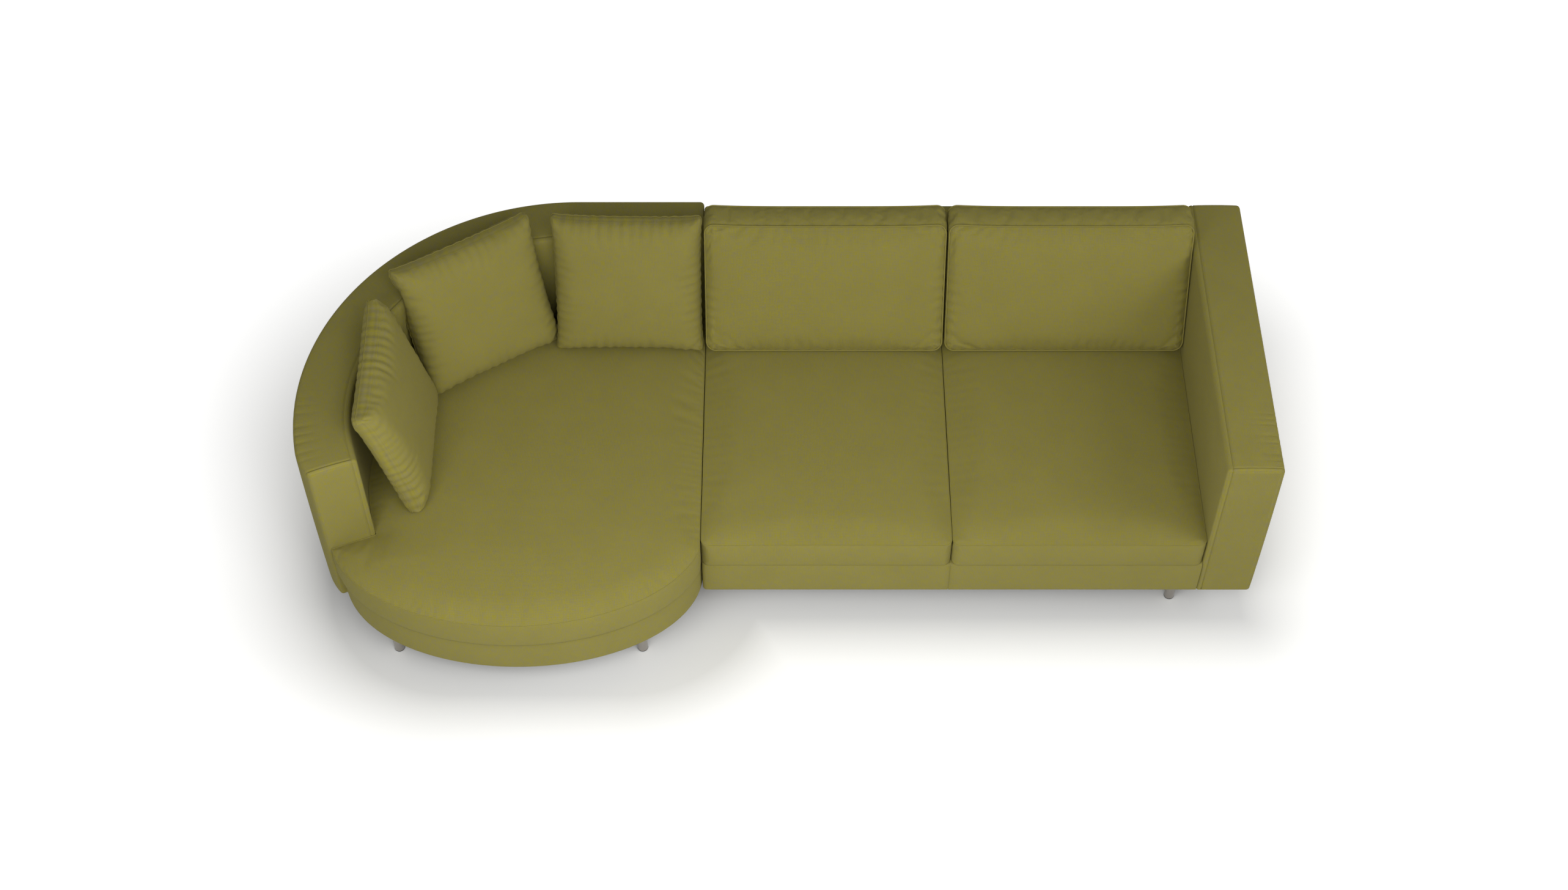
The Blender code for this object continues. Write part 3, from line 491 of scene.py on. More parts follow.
def make_melange(name, olive, violet):
    """Plain-woven wool and polyester: yellow-olive threads cross grey-violet ones.

    The threads are 0.9 mm apart and are drawn 2.2 mm apart so that they show, in painted shade between
    them and a painted highlight on each. Slubs streak both ways.
    """
    material, tree, shader = start_material(
        name, Roughness=0.92, Specular_IOR_Level=0.25, Sheen_Weight=0.12, Sheen_Roughness=0.45,
        Sheen_Tint=linear("#b9b184"),
    )
    thread = 0.0022
    cloth = add(tree, "TexCoord").outputs["UV"]
    slubs = []
    for scale in ((45, 520, 1), (520, 45, 1)):
        along = add(tree, "Mapping", {"Vector": cloth, "Scale": scale}).outputs["Vector"]
        slub = add(tree, "TexNoise", {"Vector": along, "Scale": 1.0, "Detail": 3.0})
        slubs.append(slub.outputs["Fac"])
    crossed = add(tree, "Math", {0: slubs[0], 1: slubs[1]}, operation="ADD").outputs[0]
    fleck = add(tree, "MapRange", {"Value": crossed, "From Min": 0.82, "From Max": 1.22})
    yarn = add(
        tree, "Mix", {"Factor": fleck.outputs["Result"], 6: linear(olive), 7: linear(violet)},
        data_type="RGBA",
    ).outputs[2]
    broad = add(tree, "TexNoise", {"Vector": cloth, "Scale": 9.0, "Detail": 4.0}).outputs["Fac"]
    drift = add(
        tree, "MapRange",
        {"Value": broad, "From Min": 0.3, "From Max": 0.7, "To Min": 0.975, "To Max": 1.025},
    ).outputs["Result"]
    sides = add(tree, "SeparateXYZ", {"Vector": cloth})
    waves = []
    for side in "XY":
        turn = add(tree, "Math", {0: sides.outputs[side], 1: math.pi / thread}, operation="MULTIPLY")
        wave = add(tree, "Math", {0: turn.outputs[0]}, operation="SINE").outputs[0]
        waves.append(add(tree, "Math", {0: wave}, operation="ABSOLUTE").outputs[0])
    # The weave tone is painted light: each thread is painted darker at its edges and lighter on its
    # crown, as light falls on round threads. drift is the cloth's own uneven tone.
    over = add(tree, "TexChecker", {"Vector": cloth, "Scale": 1 / thread}).outputs["Fac"]
    weave = add(tree, "Mix", {"Factor": over, 2: waves[0], 3: waves[1]}, data_type="FLOAT").outputs[0]
    depth = add(tree, "MapRange", {"Value": weave, "To Min": 0.86, "To Max": 1.06}).outputs["Result"]
    thread_shade_and_drift = add(tree, "Math", {0: depth, 1: drift}, operation="MULTIPLY").outputs[0]
    colour = add(tree, "Mix", {"Factor": 1.0, 6: yarn, 7: thread_shade_and_drift}, data_type="RGBA", blend_type="MULTIPLY")
    tree.links.new(colour.outputs[2], shader.inputs["Base Color"])
    relief = add(tree, "Math", {0: weave, 1: crossed}, operation="ADD").outputs[0]
    bump = add(tree, "Bump", {"Height": relief, "Distance": 0.0006, "Strength": 0.5})
    tree.links.new(bump.outputs["Normal"], shader.inputs["Normal"])
    return material


def cloth_square(ways, rounds):
    """UVs of a square face between two lengths along a piece and two lengths round it."""
    (low, high), (near, far) = ways, rounds
    return [(low, near), (low, far), (high, far), (high, near)]


def skin(name, rings, material):
    """A surface through rings of points, its UVs the lengths along it and round it."""
    rings = np.asarray(rings)
    count = rings.shape[1]
    ways = lengths_along(rings[:, count // 2])
    rounds = lengths_along(rings[len(rings) // 2])
    faces, uvs = [], []
    for level in range(len(rings) - 1):
        for step in range(count - 1):
            low = level * count + step
            faces.append((low, low + 1, low + count + 1, low + count))
            uvs += cloth_square(ways[level : level + 2], rounds[step : step + 2])
    return raise_mesh(name, rings.reshape(-1, 3), faces, uvs, material)


fabric = make_melange("olive_melange_weave", "#948b30", "#8a8256")
seat_gap = 0.004
seat_split_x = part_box("seat_cushion_left")[1].x + seat_gap / 2
cover_spacing = 0.012
free_corner_radius = 0.012
border_top_radius = 0.006
border_foot_radius = 0.010
top_return = 0.040
return_rows = (0.025, 0.014)
foot_return = 0.020
border_puff = 0.0015
border_steps = 118
face_clearance = 0.0003
seam_depth = 0.0028
seam_half_width = 0.0020


def border_section():
    """Inset and height of the border's points, from its top return over the front to its foot."""
    face = np.linspace(base_top - border_top_radius, base_bottom + border_foot_radius, 11)
    turns = np.linspace(0, math.pi / 2, 5)
    middle = (face[0] + face[-1]) / 2
    half = face[0] - middle
    section = [(inset, base_top) for inset in (top_return, *return_rows)]
    section += [
        (border_top_radius * (1 - math.sin(t)), base_top - border_top_radius * (1 - math.cos(t)))
        for t in turns
    ]
    section += [(-border_puff * (1 - ((z - middle) / half) ** 2), z) for z in face[1:-1]]
    section += [
        (border_foot_radius * (1 - math.cos(t)), base_bottom + border_foot_radius * (1 - math.sin(t)))
        for t in turns
    ]
    return section + [(foot_return, base_bottom)]


def straight_border_line(inset):
    """The straight border's line, drawn in by inset: round its free corner, then along the front."""
    low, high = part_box("sofa_front_border")
    reach = max(free_corner_radius, inset)
    rest = reach - inset
    side = [(low.x + inset, y) for y in np.linspace(high.y, low.y + reach, 4)[:-1]]
    turns = np.linspace(0, math.pi / 2, 6)
    corner = [(low.x + reach - rest * math.cos(t), low.y + reach - rest * math.sin(t)) for t in turns]
    places = np.linspace(low.x + reach, high.x, border_steps)[1:]
    near = np.argsort(np.abs(places - seat_split_x))[:3]
    places[np.sort(near)] = seat_split_x + seam_half_width * np.array((-1, 0, 1))
    sunk = seam_depth * (np.abs(places - seat_split_x) < seam_half_width / 2)
    line = np.array([*side, *corner, *zip(places, low.y + inset + sunk)])
    line[:, 0] = np.maximum(line[:, 0], low.x)
    return line


def oval_border_line(inset):
    """The half-oval border's line, drawn in by inset, from the wall's end face to the joint."""
    line = oval(inset, face_clearance, cover_spacing)
    line[:, 0] = np.minimum(line[:, 0], joint_x - unit_gap / 2)
    return line


for name, node, line_of in (
    ("sofa_front_cover", "sofa_front_border", straight_border_line),
    ("chaise_front_cover", "chaise_front_border", oval_border_line),
):
    rings = []
    for inset, z in border_section():
        line = line_of(inset)
        rings.append(np.column_stack([line, np.full(len(line), z)]))
    piece = skin(name, np.swapaxes(rings, 0, 1), fabric)
    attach(piece, "frame")
    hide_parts(node)

# Arm, straight back and curved wall
# Each is a padded shell: 20 mm foam over its frame and a fabric cover pulled down and stapled under
# it. The inner panel turns over the top edge to a seam 15 mm in, which runs on down the end face.

edge_radius = 0.012
end_turn = 0.007
foot_radius = 0.010
foot_lip = 0.030
seam_in = 0.0146
top_crown = 0.0025
outer_puff = 0.002
back_lean = 0.066
side_rows = 40
turn_steps = 5
top_start = 0.024
top_rows = 13
top_zone = 0.01
crease_zone = 0.24
crease_spacing = 0.003
crease_depth = 0.0022
crease_pitch = 0.0085
crease_width = 0.5
crease_wander = 3
crease_middle = 0.12
crease_reach = 0.10
wall_end_draw = 0.019
wall_end_reach = 0.075


def wall_section(thickness, inset):
    """Section of a padded wall, from lip to lip: its points (from inner face, height) and where
    its top starts and ends. It is drawn in by inset, and flat where that is the whole edge."""
    low, high = base_bottom + inset, wall_top - inset
    near, far = inset, thickness - inset
    turn, foot = edge_radius - inset, max(foot_radius - inset, 0.0)
    full = 1 - inset / edge_radius
    turns = np.linspace(0, math.pi / 2, turn_steps + 1)
    heights = np.linspace(low + foot, high - turn, side_rows)
    swell = outer_puff * full * np.sin(np.linspace(0, math.pi, side_rows)) ** 0.7
    points = [(near + foot_lip, low)]
    points += [(near + foot * (1 - math.sin(t)), low + foot * (1 - math.cos(t))) for t in turns[:-1]]
    points += [(near, z) for z in heights]
    points += [(near + turn * (1 - math.cos(t)), high - turn * (1 - math.sin(t))) for t in turns[1:-1]]
    first = len(points)
    seam = [seam_in - seam_half_width, seam_in, seam_in + seam_half_width]
    beyond = np.linspace(top_start, thickness - edge_radius, top_rows)
    across = np.concatenate([[edge_radius], seam, beyond])
    middle, half = thickness / 2, thickness / 2 - edge_radius
    rise = top_crown * full * np.clip(1 - ((across - middle) / half) ** 2, 0, 1)
    points += zip(across, high + rise)
    last = len(points)
    points += [(far - turn * (1 - math.sin(t)), high - turn * (1 - math.cos(t))) for t in turns[1:-1]]
    points += zip(far + swell[::-1], heights[::-1])
    points += [(far - foot * (1 - math.cos(t)), low + foot * (1 - math.sin(t))) for t in turns[1:]]
    points.append((far - foot_lip, low))
    return np.array(points), first, last


def leaned(points, thickness, lean):
    """Leans the inner face back by lean over the height above the seats."""
    shift = np.clip((points[:, 1] - base_top) / (wall_top - base_top), 0, 1) * lean
    return shift + points[:, 0] * (thickness - shift) / thickness


def narrowed(across, thickness, before_end, draw):
    """Draws a wall's outer side in towards its far end, by draw at the end itself."""
    near = max(1 - before_end / wall_end_reach, 0.0)
    return across - draw * near**2 * (across / thickness) ** 4


def wall_stations(length, spacing):
    """Where a wall's sections stand: lengths along it, with the inset and turn that round its ends.

    Also returns where the front seam crosses the top.
    """
    turns = np.linspace(math.pi / 2, 0, turn_steps + 2)
    ends = [(1 - math.sin(t), edge_radius * (1 - math.cos(t)), t) for t in turns]
    plain = length - crease_zone
    inner = np.linspace(edge_radius, plain, round(plain / spacing))
    front = np.linspace(plain, length - end_turn, round(crease_zone / crease_spacing))
    inner = np.concatenate([inner, front[1:]])
    inner[-3:] = inner[-1] - seam_half_width * np.array((2, 1, 0))
    stations = [(at * edge_radius, inset, -turn) for at, inset, turn in ends]
    stations += [(at, 0.0, 0.0) for at in inner[1:-1]]
    stations += [(length - at * end_turn, inset, turn) for at, inset, turn in reversed(ends)]
    return stations, inner[-2]


def creased(section, thickness, at, before_end):
    """Heights of a section with the soft creases in the outer half of the top, near the front."""
    edge = np.clip(section[:, 0] / thickness * 2 - 1, 0, 1) * (section[:, 1] > wall_top - top_zone)
    near_front = math.exp(-(((before_end - crease_middle) / crease_reach) ** 2))
    wander = crease_wander * noise.noise(Vector((at * 20, 0, 0)))
    valley = math.exp(-((math.sin(at / crease_pitch + wander) / crease_width) ** 2))
    return section[:, 1] - crease_depth * edge * near_front * valley


def end_panel(thickness):
    """An end face as a grid of points (from inner face, height), and how many stand in a row."""
    section, first, last = wall_section(thickness, edge_radius)
    heights = section[first - turn_steps + 1 - side_rows : first - turn_steps + 1, 1]
    across = section[first:last, 0]
    return np.array([(a, z) for z in heights for a in across]), len(across)


def add_cover(name, node, way, length, thickness, spacing, lean=0.0, front_seam=False, draw=0.0):
    """A wall's cover: its section carried along a way, rounded and closed at both ends.

    A front seam crosses the top before the far end, with soft creases behind it.
    """
    stations, seam_at = wall_stations(length, spacing)
    rings = []
    for at, inset, turn in stations:
        section, first, last = wall_section(thickness, inset)
        along = np.full(len(section), at)
        section[first + 2, 1] -= seam_depth * math.cos(turn)
        along[first + 2] -= seam_depth * math.sin(turn)
        if front_seam:
            section[:, 1] = creased(section, thickness, at, length - at)
            if at == seam_at:
                section[first + 3 : last + turn_steps - 1, 1] -= seam_depth
        across = leaned(section, thickness, lean)
        across = narrowed(across, thickness, length - at, draw)
        rings.append(np.column_stack([way(along, across), section[:, 1]]))
    rings = np.array(rings)
    count = rings.shape[1]
    ways = [station[0] for station in stations]
    rounds = np.append(lengths_along(rings[len(rings) // 2]), 0)
    rounds[-1] = rounds[-2] + thickness - 2 * foot_lip
    corners = [rings.reshape(-1, 3)]
    faces, uvs = [], []
    for level in range(len(rings) - 1):
        at_end = ways[level + 1] < edge_radius + 0.001 or length - ways[level] < end_turn + 0.001
        for step in range(count if at_end else count - 1):
            beside = (step + 1) % count
            low = level * count
            faces.append((low + step, low + beside, low + count + beside, low + count + step))
            uvs += cloth_square(ways[level : level + 2], rounds[step : step + 2])
    flat, columns = end_panel(thickness)
    for at, outward in ((0.0, -1), (length, 1)):
        along = np.full(len(flat), at)
        along[2::columns] -= outward * seam_depth
        start = sum(len(part) for part in corners)
        across = narrowed(leaned(flat, thickness, lean), thickness, length - at, draw)
        corners.append(np.column_stack([way(along, across), flat[:, 1]]))
        for row in range(side_rows - 1):
            for column in range(columns - 1):
                low = row * columns + column
                face = (low, low + 1, low + columns + 1, low + columns)
                faces.append([start + index for index in face])
                uvs += [flat[index] for index in face]
    piece = raise_mesh(name, np.concatenate(corners), faces, uvs, fabric)
    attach(piece, "frame")
    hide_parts(node)


def arm_way(along, across):
    """From the arm's rear to its front, its inner face towards the seats."""
    return np.column_stack([arm_low.x + across, arm_high.y - along])


def back_way(along, across):
    """Along the straight back, from the joint to the arm."""
    return np.column_stack([back_low.x + along, back_low.y + across])


def wall_way(along, across):
    """From the joint along the straight rear, then round the corner to the end face."""
    straight = joint_x - unit_gap / 2 - corner_x
    turns = math.pi / 2 + np.maximum(along - straight, 0) / inner_radius
    radius = inner_radius + across
    x = corner_x + radius * np.cos(turns) + np.maximum(straight - along, 0)
    return np.column_stack([x, corner_y + radius * np.sin(turns)])


arm_low, arm_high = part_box("arm_upholstery")
back_low, back_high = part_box("back_upholstery")
wall_length = joint_x - unit_gap / 2 - corner_x + wall_turn * inner_radius
add_cover(
    "arm_cover", "arm_upholstery", arm_way, arm_high.y - arm_low.y, arm_high.x - arm_low.x,
    cover_spacing / 2, front_seam=True,
)
add_cover(
    "back_cover", "back_upholstery", back_way, back_high.x - back_low.x, back_high.y - back_low.y,
    cover_spacing, lean=back_lean,
)
add_cover(
    "curved_wall_cover", "shell_upholstery", wall_way, wall_length, wall_thickness,
    cover_spacing * 0.7, front_seam=True, draw=wall_end_draw,
)

# Seat cushions
# Box cushions: a foam block wrapped in wadding, in a fabric case of two panels and a border. The
# seams are piped with a thin bias strip, and the case is a little full, so its panels crown.

seam_top = 0.3813
underside = base_top + lining_clearance
seam_drop = 0.006
edge_roll = 0.013
roll_reach = 0.080
seat_tuck = 0.0010
seat_crown = 0.017
side_pull = 0.0015
seat_corner = 0.022
seat_spacing = 0.0125
border_rows = 10
seat_piping = 0.0012
piping_inset = 0.0002
seat_slack = 0.006
seat_swell = 0.003
side_room = 0.0012
blow_steps = 20
rear_cut = (0.37, 0.11)


def grid_panel(half_x, half_y, radius, spacing):
    """A panel of even squares with rounded corners: its points, its faces and its rim in order."""

    def lines(half):
        turn = np.linspace(0, radius, max(2, round(2.5 * radius / spacing)) + 1)[1:]
        flat = np.linspace(radius - half, half - radius, round(2 * (half - radius) / spacing) + 1)
        return np.concatenate([radius - half - turn[::-1], flat, half - radius + turn])

    x, y = np.meshgrid(lines(half_x), lines(half_y))
    p = np.clip((np.abs(x) - half_x + radius) / radius, 0, 1)
    q = np.clip((np.abs(y) - half_y + radius) / radius, 0, 1)
    round_x = np.sign(x) * (half_x - radius + radius * p * np.sqrt(1 - q**2 / 2))
    round_y = np.sign(y) * (half_y - radius + radius * q * np.sqrt(1 - p**2 / 2))
    points = np.stack([np.where(p > 0, round_x, x), np.where(q > 0, round_y, y)], 2).reshape(-1, 2)
    index = np.arange(x.size).reshape(x.shape)
    faces = np.stack([index[:-1, :-1], index[:-1, 1:], index[1:, 1:], index[1:, :-1]], 2)
    rim = np.concatenate([index[0, :-1], index[:-1, -1], index[-1, :0:-1], index[:0:-1, 0]])
    return points, faces.reshape(-1, 4), rim


def drawn_in(points, half_x, half_y, share, power=2):
    """Draws the four sides of a panel in between its corners."""
    across, along = points[:, 0] / half_x, points[:, 1] / half_y
    pulled_x = points[:, 0] * (1 - share * (1 - along**power))
    pulled_y = points[:, 1] * (1 - share * (1 - across**power))
    return np.stack([pulled_x, pulled_y], 1)


def sew(name, panel, front, rear, border, rows, material):
    """A case of two panels of one cut, joined by a border in rows; with no rows, by a knife edge.

    front and rear hold the panels' corners, and border places the rim at a share from rear to front.
    """
    points, panel_faces, rim = panel
    count = len(points)
    rear_index = np.arange(count, 2 * count)
    if rows == 0:
        free = np.setdiff1d(np.arange(count), rim)
        rear_index[free] = count + np.arange(len(free))
        rear_index[rim] = rim
        rear = rear[free]
    corners = [front, rear]
    faces, uvs = [], []
    for face in panel_faces:
        back_face = list(face)[::-1]
        faces += [face, rear_index[back_face]]
        uvs += [points[i] for i in face]
        uvs += [points[i] + rear_cut for i in back_face]
    levels = [rear_index[rim]]
    for row in range(1, rows):
        levels.append(sum(len(part) for part in corners) + np.arange(len(rim)))
        corners.append(border(row / rows))
    levels.append(rim)
    ways = lengths_along(np.concatenate([points[rim], points[rim[:1]]]))
    height = float(np.linalg.norm(front[rim[0]] - rear[rim[0]])) if rows else 0.0
    for row in range(rows):
        low, high = row / rows * height, (row + 1) / rows * height
        for step in range(len(rim)):
            beside = (step + 1) % len(rim)
            below, above = levels[row], levels[row + 1]
            faces.append((below[step], below[beside], above[beside], above[step]))
            uvs += [(ways[step], low), (ways[step + 1], low), (ways[step + 1], high), (ways[step], high)]
    return raise_mesh(name, np.concatenate(corners), faces, uvs, material), rear_index


def spots_of(mesh):
    """Places of a mesh's points, one row each."""
    spots = np.empty(3 * len(mesh.vertices))
    mesh.vertices.foreach_get("co", spots)
    return spots.reshape(-1, 3)


def inflate(piece, held, slack, cap, node=None):
    """Blows a case up against its held points as its filling does, with more cloth by slack.

    Its sides press flat on its neighbours, where those of the CAD node are.
    """
    group = piece.vertex_groups.new(name="held")
    group.add([int(index) for index in held], 1.0, "REPLACE")
    swell = piece.modifiers.new("swell", "CLOTH")
    swell.settings.quality = 6
    swell.settings.mass = 0.3
    swell.settings.tension_stiffness = 15
    swell.settings.compression_stiffness = 15
    swell.settings.shear_stiffness = 5
    swell.settings.bending_stiffness = 0.3
    swell.settings.use_pressure = True
    swell.settings.uniform_pressure_force = 4
    swell.settings.shrink_min = -slack
    swell.settings.vertex_group_mass = "held"
    swell.settings.effector_weights.gravity = 0
    swell.collision_settings.use_collision = False
    swell.point_cache.frame_start = 1
    swell.point_cache.frame_end = blow_steps
    for step in range(1, blow_steps + 1):
        bpy.context.scene.frame_set(step)
    blown = piece.evaluated_get(bpy.context.evaluated_depsgraph_get()).data
    rest = spots_of(piece.data)
    moved = spots_of(blown) - rest
    size = np.maximum(np.linalg.norm(moved, axis=1), 1e-9)
    moved *= (cap * np.tanh(size / cap) / size)[:, None]
    piece.modifiers.remove(swell)
    spots = rest + moved
    if node:
        low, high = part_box(node)
        spots[:, 0] = np.clip(spots[:, 0], low.x - side_room, high.x + side_room)
    piece.data.vertices.foreach_set("co", spots.ravel())
    piece.data.update()
    bpy.context.scene.frame_set(1)


def finish_case(piece, rims, body, node):
    """Keeps the seams sharp under one subdivision, gives the case its body and hides the CAD node."""
    sewn = {frozenset((int(rim[step]), int(rim[step - 1]))) for rim in rims for step in range(len(rim))}
    crease = piece.data.attributes.new("crease_edge", "FLOAT", "EDGE")
    for edge in piece.data.edges:
        if frozenset(edge.vertices) in sewn:
            crease.data[edge.index].value = 1.0
    smooth = piece.modifiers.new("smooth", "SUBSURF")
    smooth.levels = 1
    smooth.render_levels = 1
    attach(piece, body)
    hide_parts(node)


def add_piping(name, line, radius, body, material):
    """A closed piping of bias-cut fabric along a seam."""
    beside = np.roll(line, -1, axis=0)
    ahead = beside - np.roll(line, 1, axis=0)
    ahead /= np.linalg.norm(ahead, axis=1)[:, None]
    square = np.cross(line, beside).sum(0)
    side = square - (ahead @ square)[:, None] * ahead
    side /= np.linalg.norm(side, axis=1)[:, None]
    up = np.cross(ahead, side)
    turns = np.linspace(0, 2 * math.pi, 9)
    rings = [line + radius * (math.cos(t) * side + math.sin(t) * up) for t in turns]
    rings = np.swapaxes(rings, 0, 1)
    piece = skin(name, np.concatenate([rings, rings[:1]]), material)
    bias = Matrix.Rotation(math.radians(45), 2)
    for corner in piece.data.uv_layers[0].data:
        corner.uv = bias @ corner.uv
    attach(piece, body)
    return piece


def box_crown(points, half_x, half_y):
    """Share of the crown: full in the middle of a box cushion, nothing at its seams."""
    across, along = np.minimum(np.abs(points.T) / [[half_x], [half_y]], 1)
    return (1 - across**3) * (1 - along**3)


def bulge(share, tuck):
    """How far a border stands out from its seams, at a share of its height."""
    return tuck * (1 - (2 * share - 1) ** 4)


def roll(depth, rise, reach):
    """Rise of a panel that turns over its edge: steep at the seam, level at reach from it."""
    return rise * (1 - (1 - np.minimum(depth / reach, 1)) ** 2)


def add_flat_case(name, node, body, panel, plan, crown):
    """A seat's case: crowned top, flat underside, upright border, and piping round its top seam."""
    rim = panel[2]
    out = outward_of(plan[rim])
    seam_height = seam_top - seam_drop
    heights = seam_height + crown + roll(distance_to(plan[rim], plan), edge_roll, roll_reach)

    def border(share):
        height = underside + (seam_height - underside) * share
        return np.column_stack([plan[rim] + out * bulge(share, seat_tuck), np.full(len(rim), height)])

    front = np.column_stack([plan, heights])
    rear = np.column_stack([plan, np.full(len(plan), underside)])
    piece, rear_index = sew(f"{name}_case", panel, front, rear, border, border_rows, fabric)
    inflate(piece, np.concatenate([rim, rear_index]), seat_slack, seat_swell, node)
    finish_case(piece, [rim, rear_index[rim]], body, node)
    line = np.column_stack([plan[rim] - out * piping_inset, np.full(len(rim), seam_height)])
    add_piping(f"{name}_piping", line, seat_piping, body, fabric)
    return piece


def add_seat_cushion(side):
    """One seat cushion on the sofa unit's deck."""
    node = f"seat_cushion_{side}"
    low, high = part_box(node)
    half_x = (high.x - low.x) / 2 + seat_tuck / 2
    half_y = (high.y - low.y) / 2 - seat_tuck
    panel = grid_panel(half_x, half_y, seat_corner, seat_spacing)
    crown = seat_crown * box_crown(panel[0], half_x, half_y)
    middle = ((low.x + high.x) / 2, (low.y + high.y) / 2)
    plan = drawn_in(panel[0], half_x, half_y, side_pull) + middle
    return add_flat_case(f"seat_{side}", node, f"seat_{side}", panel, plan, crown)


seat_cases = [add_seat_cushion(side) for side in ("left", "right")]

# Chaise cushion
# One box cushion cut to the unit's plan: half-oval front just over the border, rear round the
# corner. Foam, wadding and a fabric case as on the seats, with one seam round its top.

cushion_gap = 0.0006
cushion_overhang = 0.012
chaise_crown = 0.017
crown_reach = 0.26
chaise_hems = (0.003, 0.008, 0.015)

outline = chaise_plan(seat_tuck + cushion_gap, cushion_overhang, seat_spacing / 2)
panel = cut_panel(outline, seat_spacing, hems=chaise_hems)
plan = panel[0]
from_seam = np.minimum(distance_to(plan[panel[2]], plan) / crown_reach, 1)
crown = chaise_crown * (1 - (1 - from_seam) ** 2)
chaise_case = add_flat_case("chaise", "chaise_seat_cushion", "chaise_seat", panel, plan, crown)

# Back cushions
# Fibre-filled box cushions that stand on the seats and lean on the back frame: 150 mm thick at the
# foot and 74 mm at the top. Piping runs round both faces, and the cases are full and lightly creased.

back_height = 0.386
back_corner = 0.026
back_tuck = 0.0045
back_spread = 0.0032
back_dip = 0.006
back_crown = 0.020
back_fullness = 0.8
back_roll = 0.009
back_reach = 0.020
back_spacing = 0.0085
back_fold = 0.003
gather_reach = 0.032
gather_pitch = 0.030
gather_wander = 4
gather_height = 0.75
gather_spread = 0.9
foot_gathers = 0.4
border_gathers = 0.35
back_rows = 14
back_piping = 0.0023
front_piping_lift = 0.0012
rear_piping_lift = -0.0005
back_slack = 0.025
back_swell = 0.006
foot_front = 0.3172
foot_rear = 0.46915
front_lean = 0.157
rear_lean = 0.0795


def rest_on(pieces, supports, gap=0.0004):
    """Lowers pieces together on to what they stand on, until they all but touch."""
    lift = Vector((0, 0, 0.1))
    depsgraph = bpy.context.evaluated_depsgraph_get()
    trees = [BVHTree.FromObject(support, depsgraph) for support in supports]
    least = math.inf
    for piece in pieces:
        for vertex in piece.data.vertices:
            for tree in trees:
                spot = tree.ray_cast(vertex.co + lift, Vector((0, 0, -1)))[0]
                if spot:
                    least = min(least, vertex.co.z - spot.z)
    for piece in pieces:
        piece.data.transform(Matrix.Translation((0, 0, gap - least)))


def gathers(rim, points, reach, pitch, seed):
    """Soft folds square to a seam, uneven in height and spacing, that fade at reach from it."""
    ways = lengths_along(rim)
    waves = np.array([
        math.sin(2 * math.pi * way / pitch + gather_wander * noise.noise(Vector((way * 10, seed, 0))))
        * (gather_height + gather_spread * noise.noise(Vector((way * 11, seed, 7))))
        for way in ways
    ])
    folds = np.empty(len(points))
    for start in range(0, len(points), 1000):
        gaps = np.linalg.norm(points[start : start + 1000, None] - rim[None], axis=2)
        near = gaps.argmin(1)
        folds[start : start + 1000] = waves[near] * np.exp(-((gaps.min(1) / reach) ** 2))
    return folds


def add_back_cushion(side, seat):
    """One back cushion, stood on its seat."""
    node = f"back_cushion_{side}"
    low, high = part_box(node)
    middle_x = (low.x + high.x) / 2
    half_x = (high.x - low.x) / 2 - back_spread
    half_up = back_height / 2 - back_tuck
    panel = grid_panel(half_x, half_up, back_corner, back_spacing)
    points, _, rim = panel
    plan = drawn_in(points, half_x, half_up, side_pull)
    raised = np.clip(points[:, 1] / half_up, 0, 1)
    plan[:, 1] = points[:, 1] - back_dip * raised * (1 - (points[:, 0] / half_x) ** 4)
    out = outward_of(plan[rim])
    outward = np.array([-back_height, front_lean]) / math.hypot(back_height, front_lean)
    folds = gathers(plan[rim], plan, gather_reach, gather_pitch, half_x)
    sides = np.clip(np.abs(points[:, 0]) / half_x * 4 - 3, 0, 1) + foot_gathers * (points[:, 1] < 0)
    crown = back_crown * box_crown(points, half_x, half_up) ** back_fullness
    crown += back_fold * folds * sides
    crown += roll(distance_to(plan[rim], plan), back_roll, back_reach)

    def place(flat, share, lift):
        """A point at a share of the way from the rear face to the front one, lifted off it."""
        up = (flat[:, 1:] + back_height / 2) / back_height
        front_spot = np.array([foot_front, seam_top]) + up * [front_lean, back_height]
        rear_spot = np.array([foot_rear, seam_top]) + up * [rear_lean, back_height]
        spot = front_spot * share + rear_spot * (1 - share) + outward * np.reshape(lift, (-1, 1))
        return np.column_stack([flat[:, 0] + middle_x, spot])

    def border(share):
        puff = bulge(share, back_tuck) * (1 + border_gathers * folds[rim] * sides[rim])
        return place(plan[rim] + out * puff[:, None], share, 0.0)

    body = f"back_{side}"
    piece, rear_index = sew(
        f"back_{side}_case", panel, place(plan, 1.0, crown), place(plan, 0.0, 0.0), border,
        back_rows, fabric,
    )
    inflate(piece, np.concatenate([rim, rear_index]), back_slack, back_swell, node)
    finish_case(piece, [rim, rear_index[rim]], body, node)
    seam = plan[rim] + out * back_piping * 0.5
    pipings = [
        add_piping(
            f"back_{side}_{face}_piping", place(seam, share, lift), back_piping, body, fabric,
        )
        for face, share, lift in (("front", 1.0, front_piping_lift), ("rear", 0.0, rear_piping_lift))
    ]
    rest_on([piece, *pipings], [seat])


for side, seat in zip(("left", "right"), seat_cases):
    add_back_cushion(side, seat)

# Scatter cushions
# Three loose 45 cm covers over a softer filling, which draws them in to 43 cm. They are sewn with a
# plain seam that puckers round their full edges, and stand in the corner, leaning on the wall.

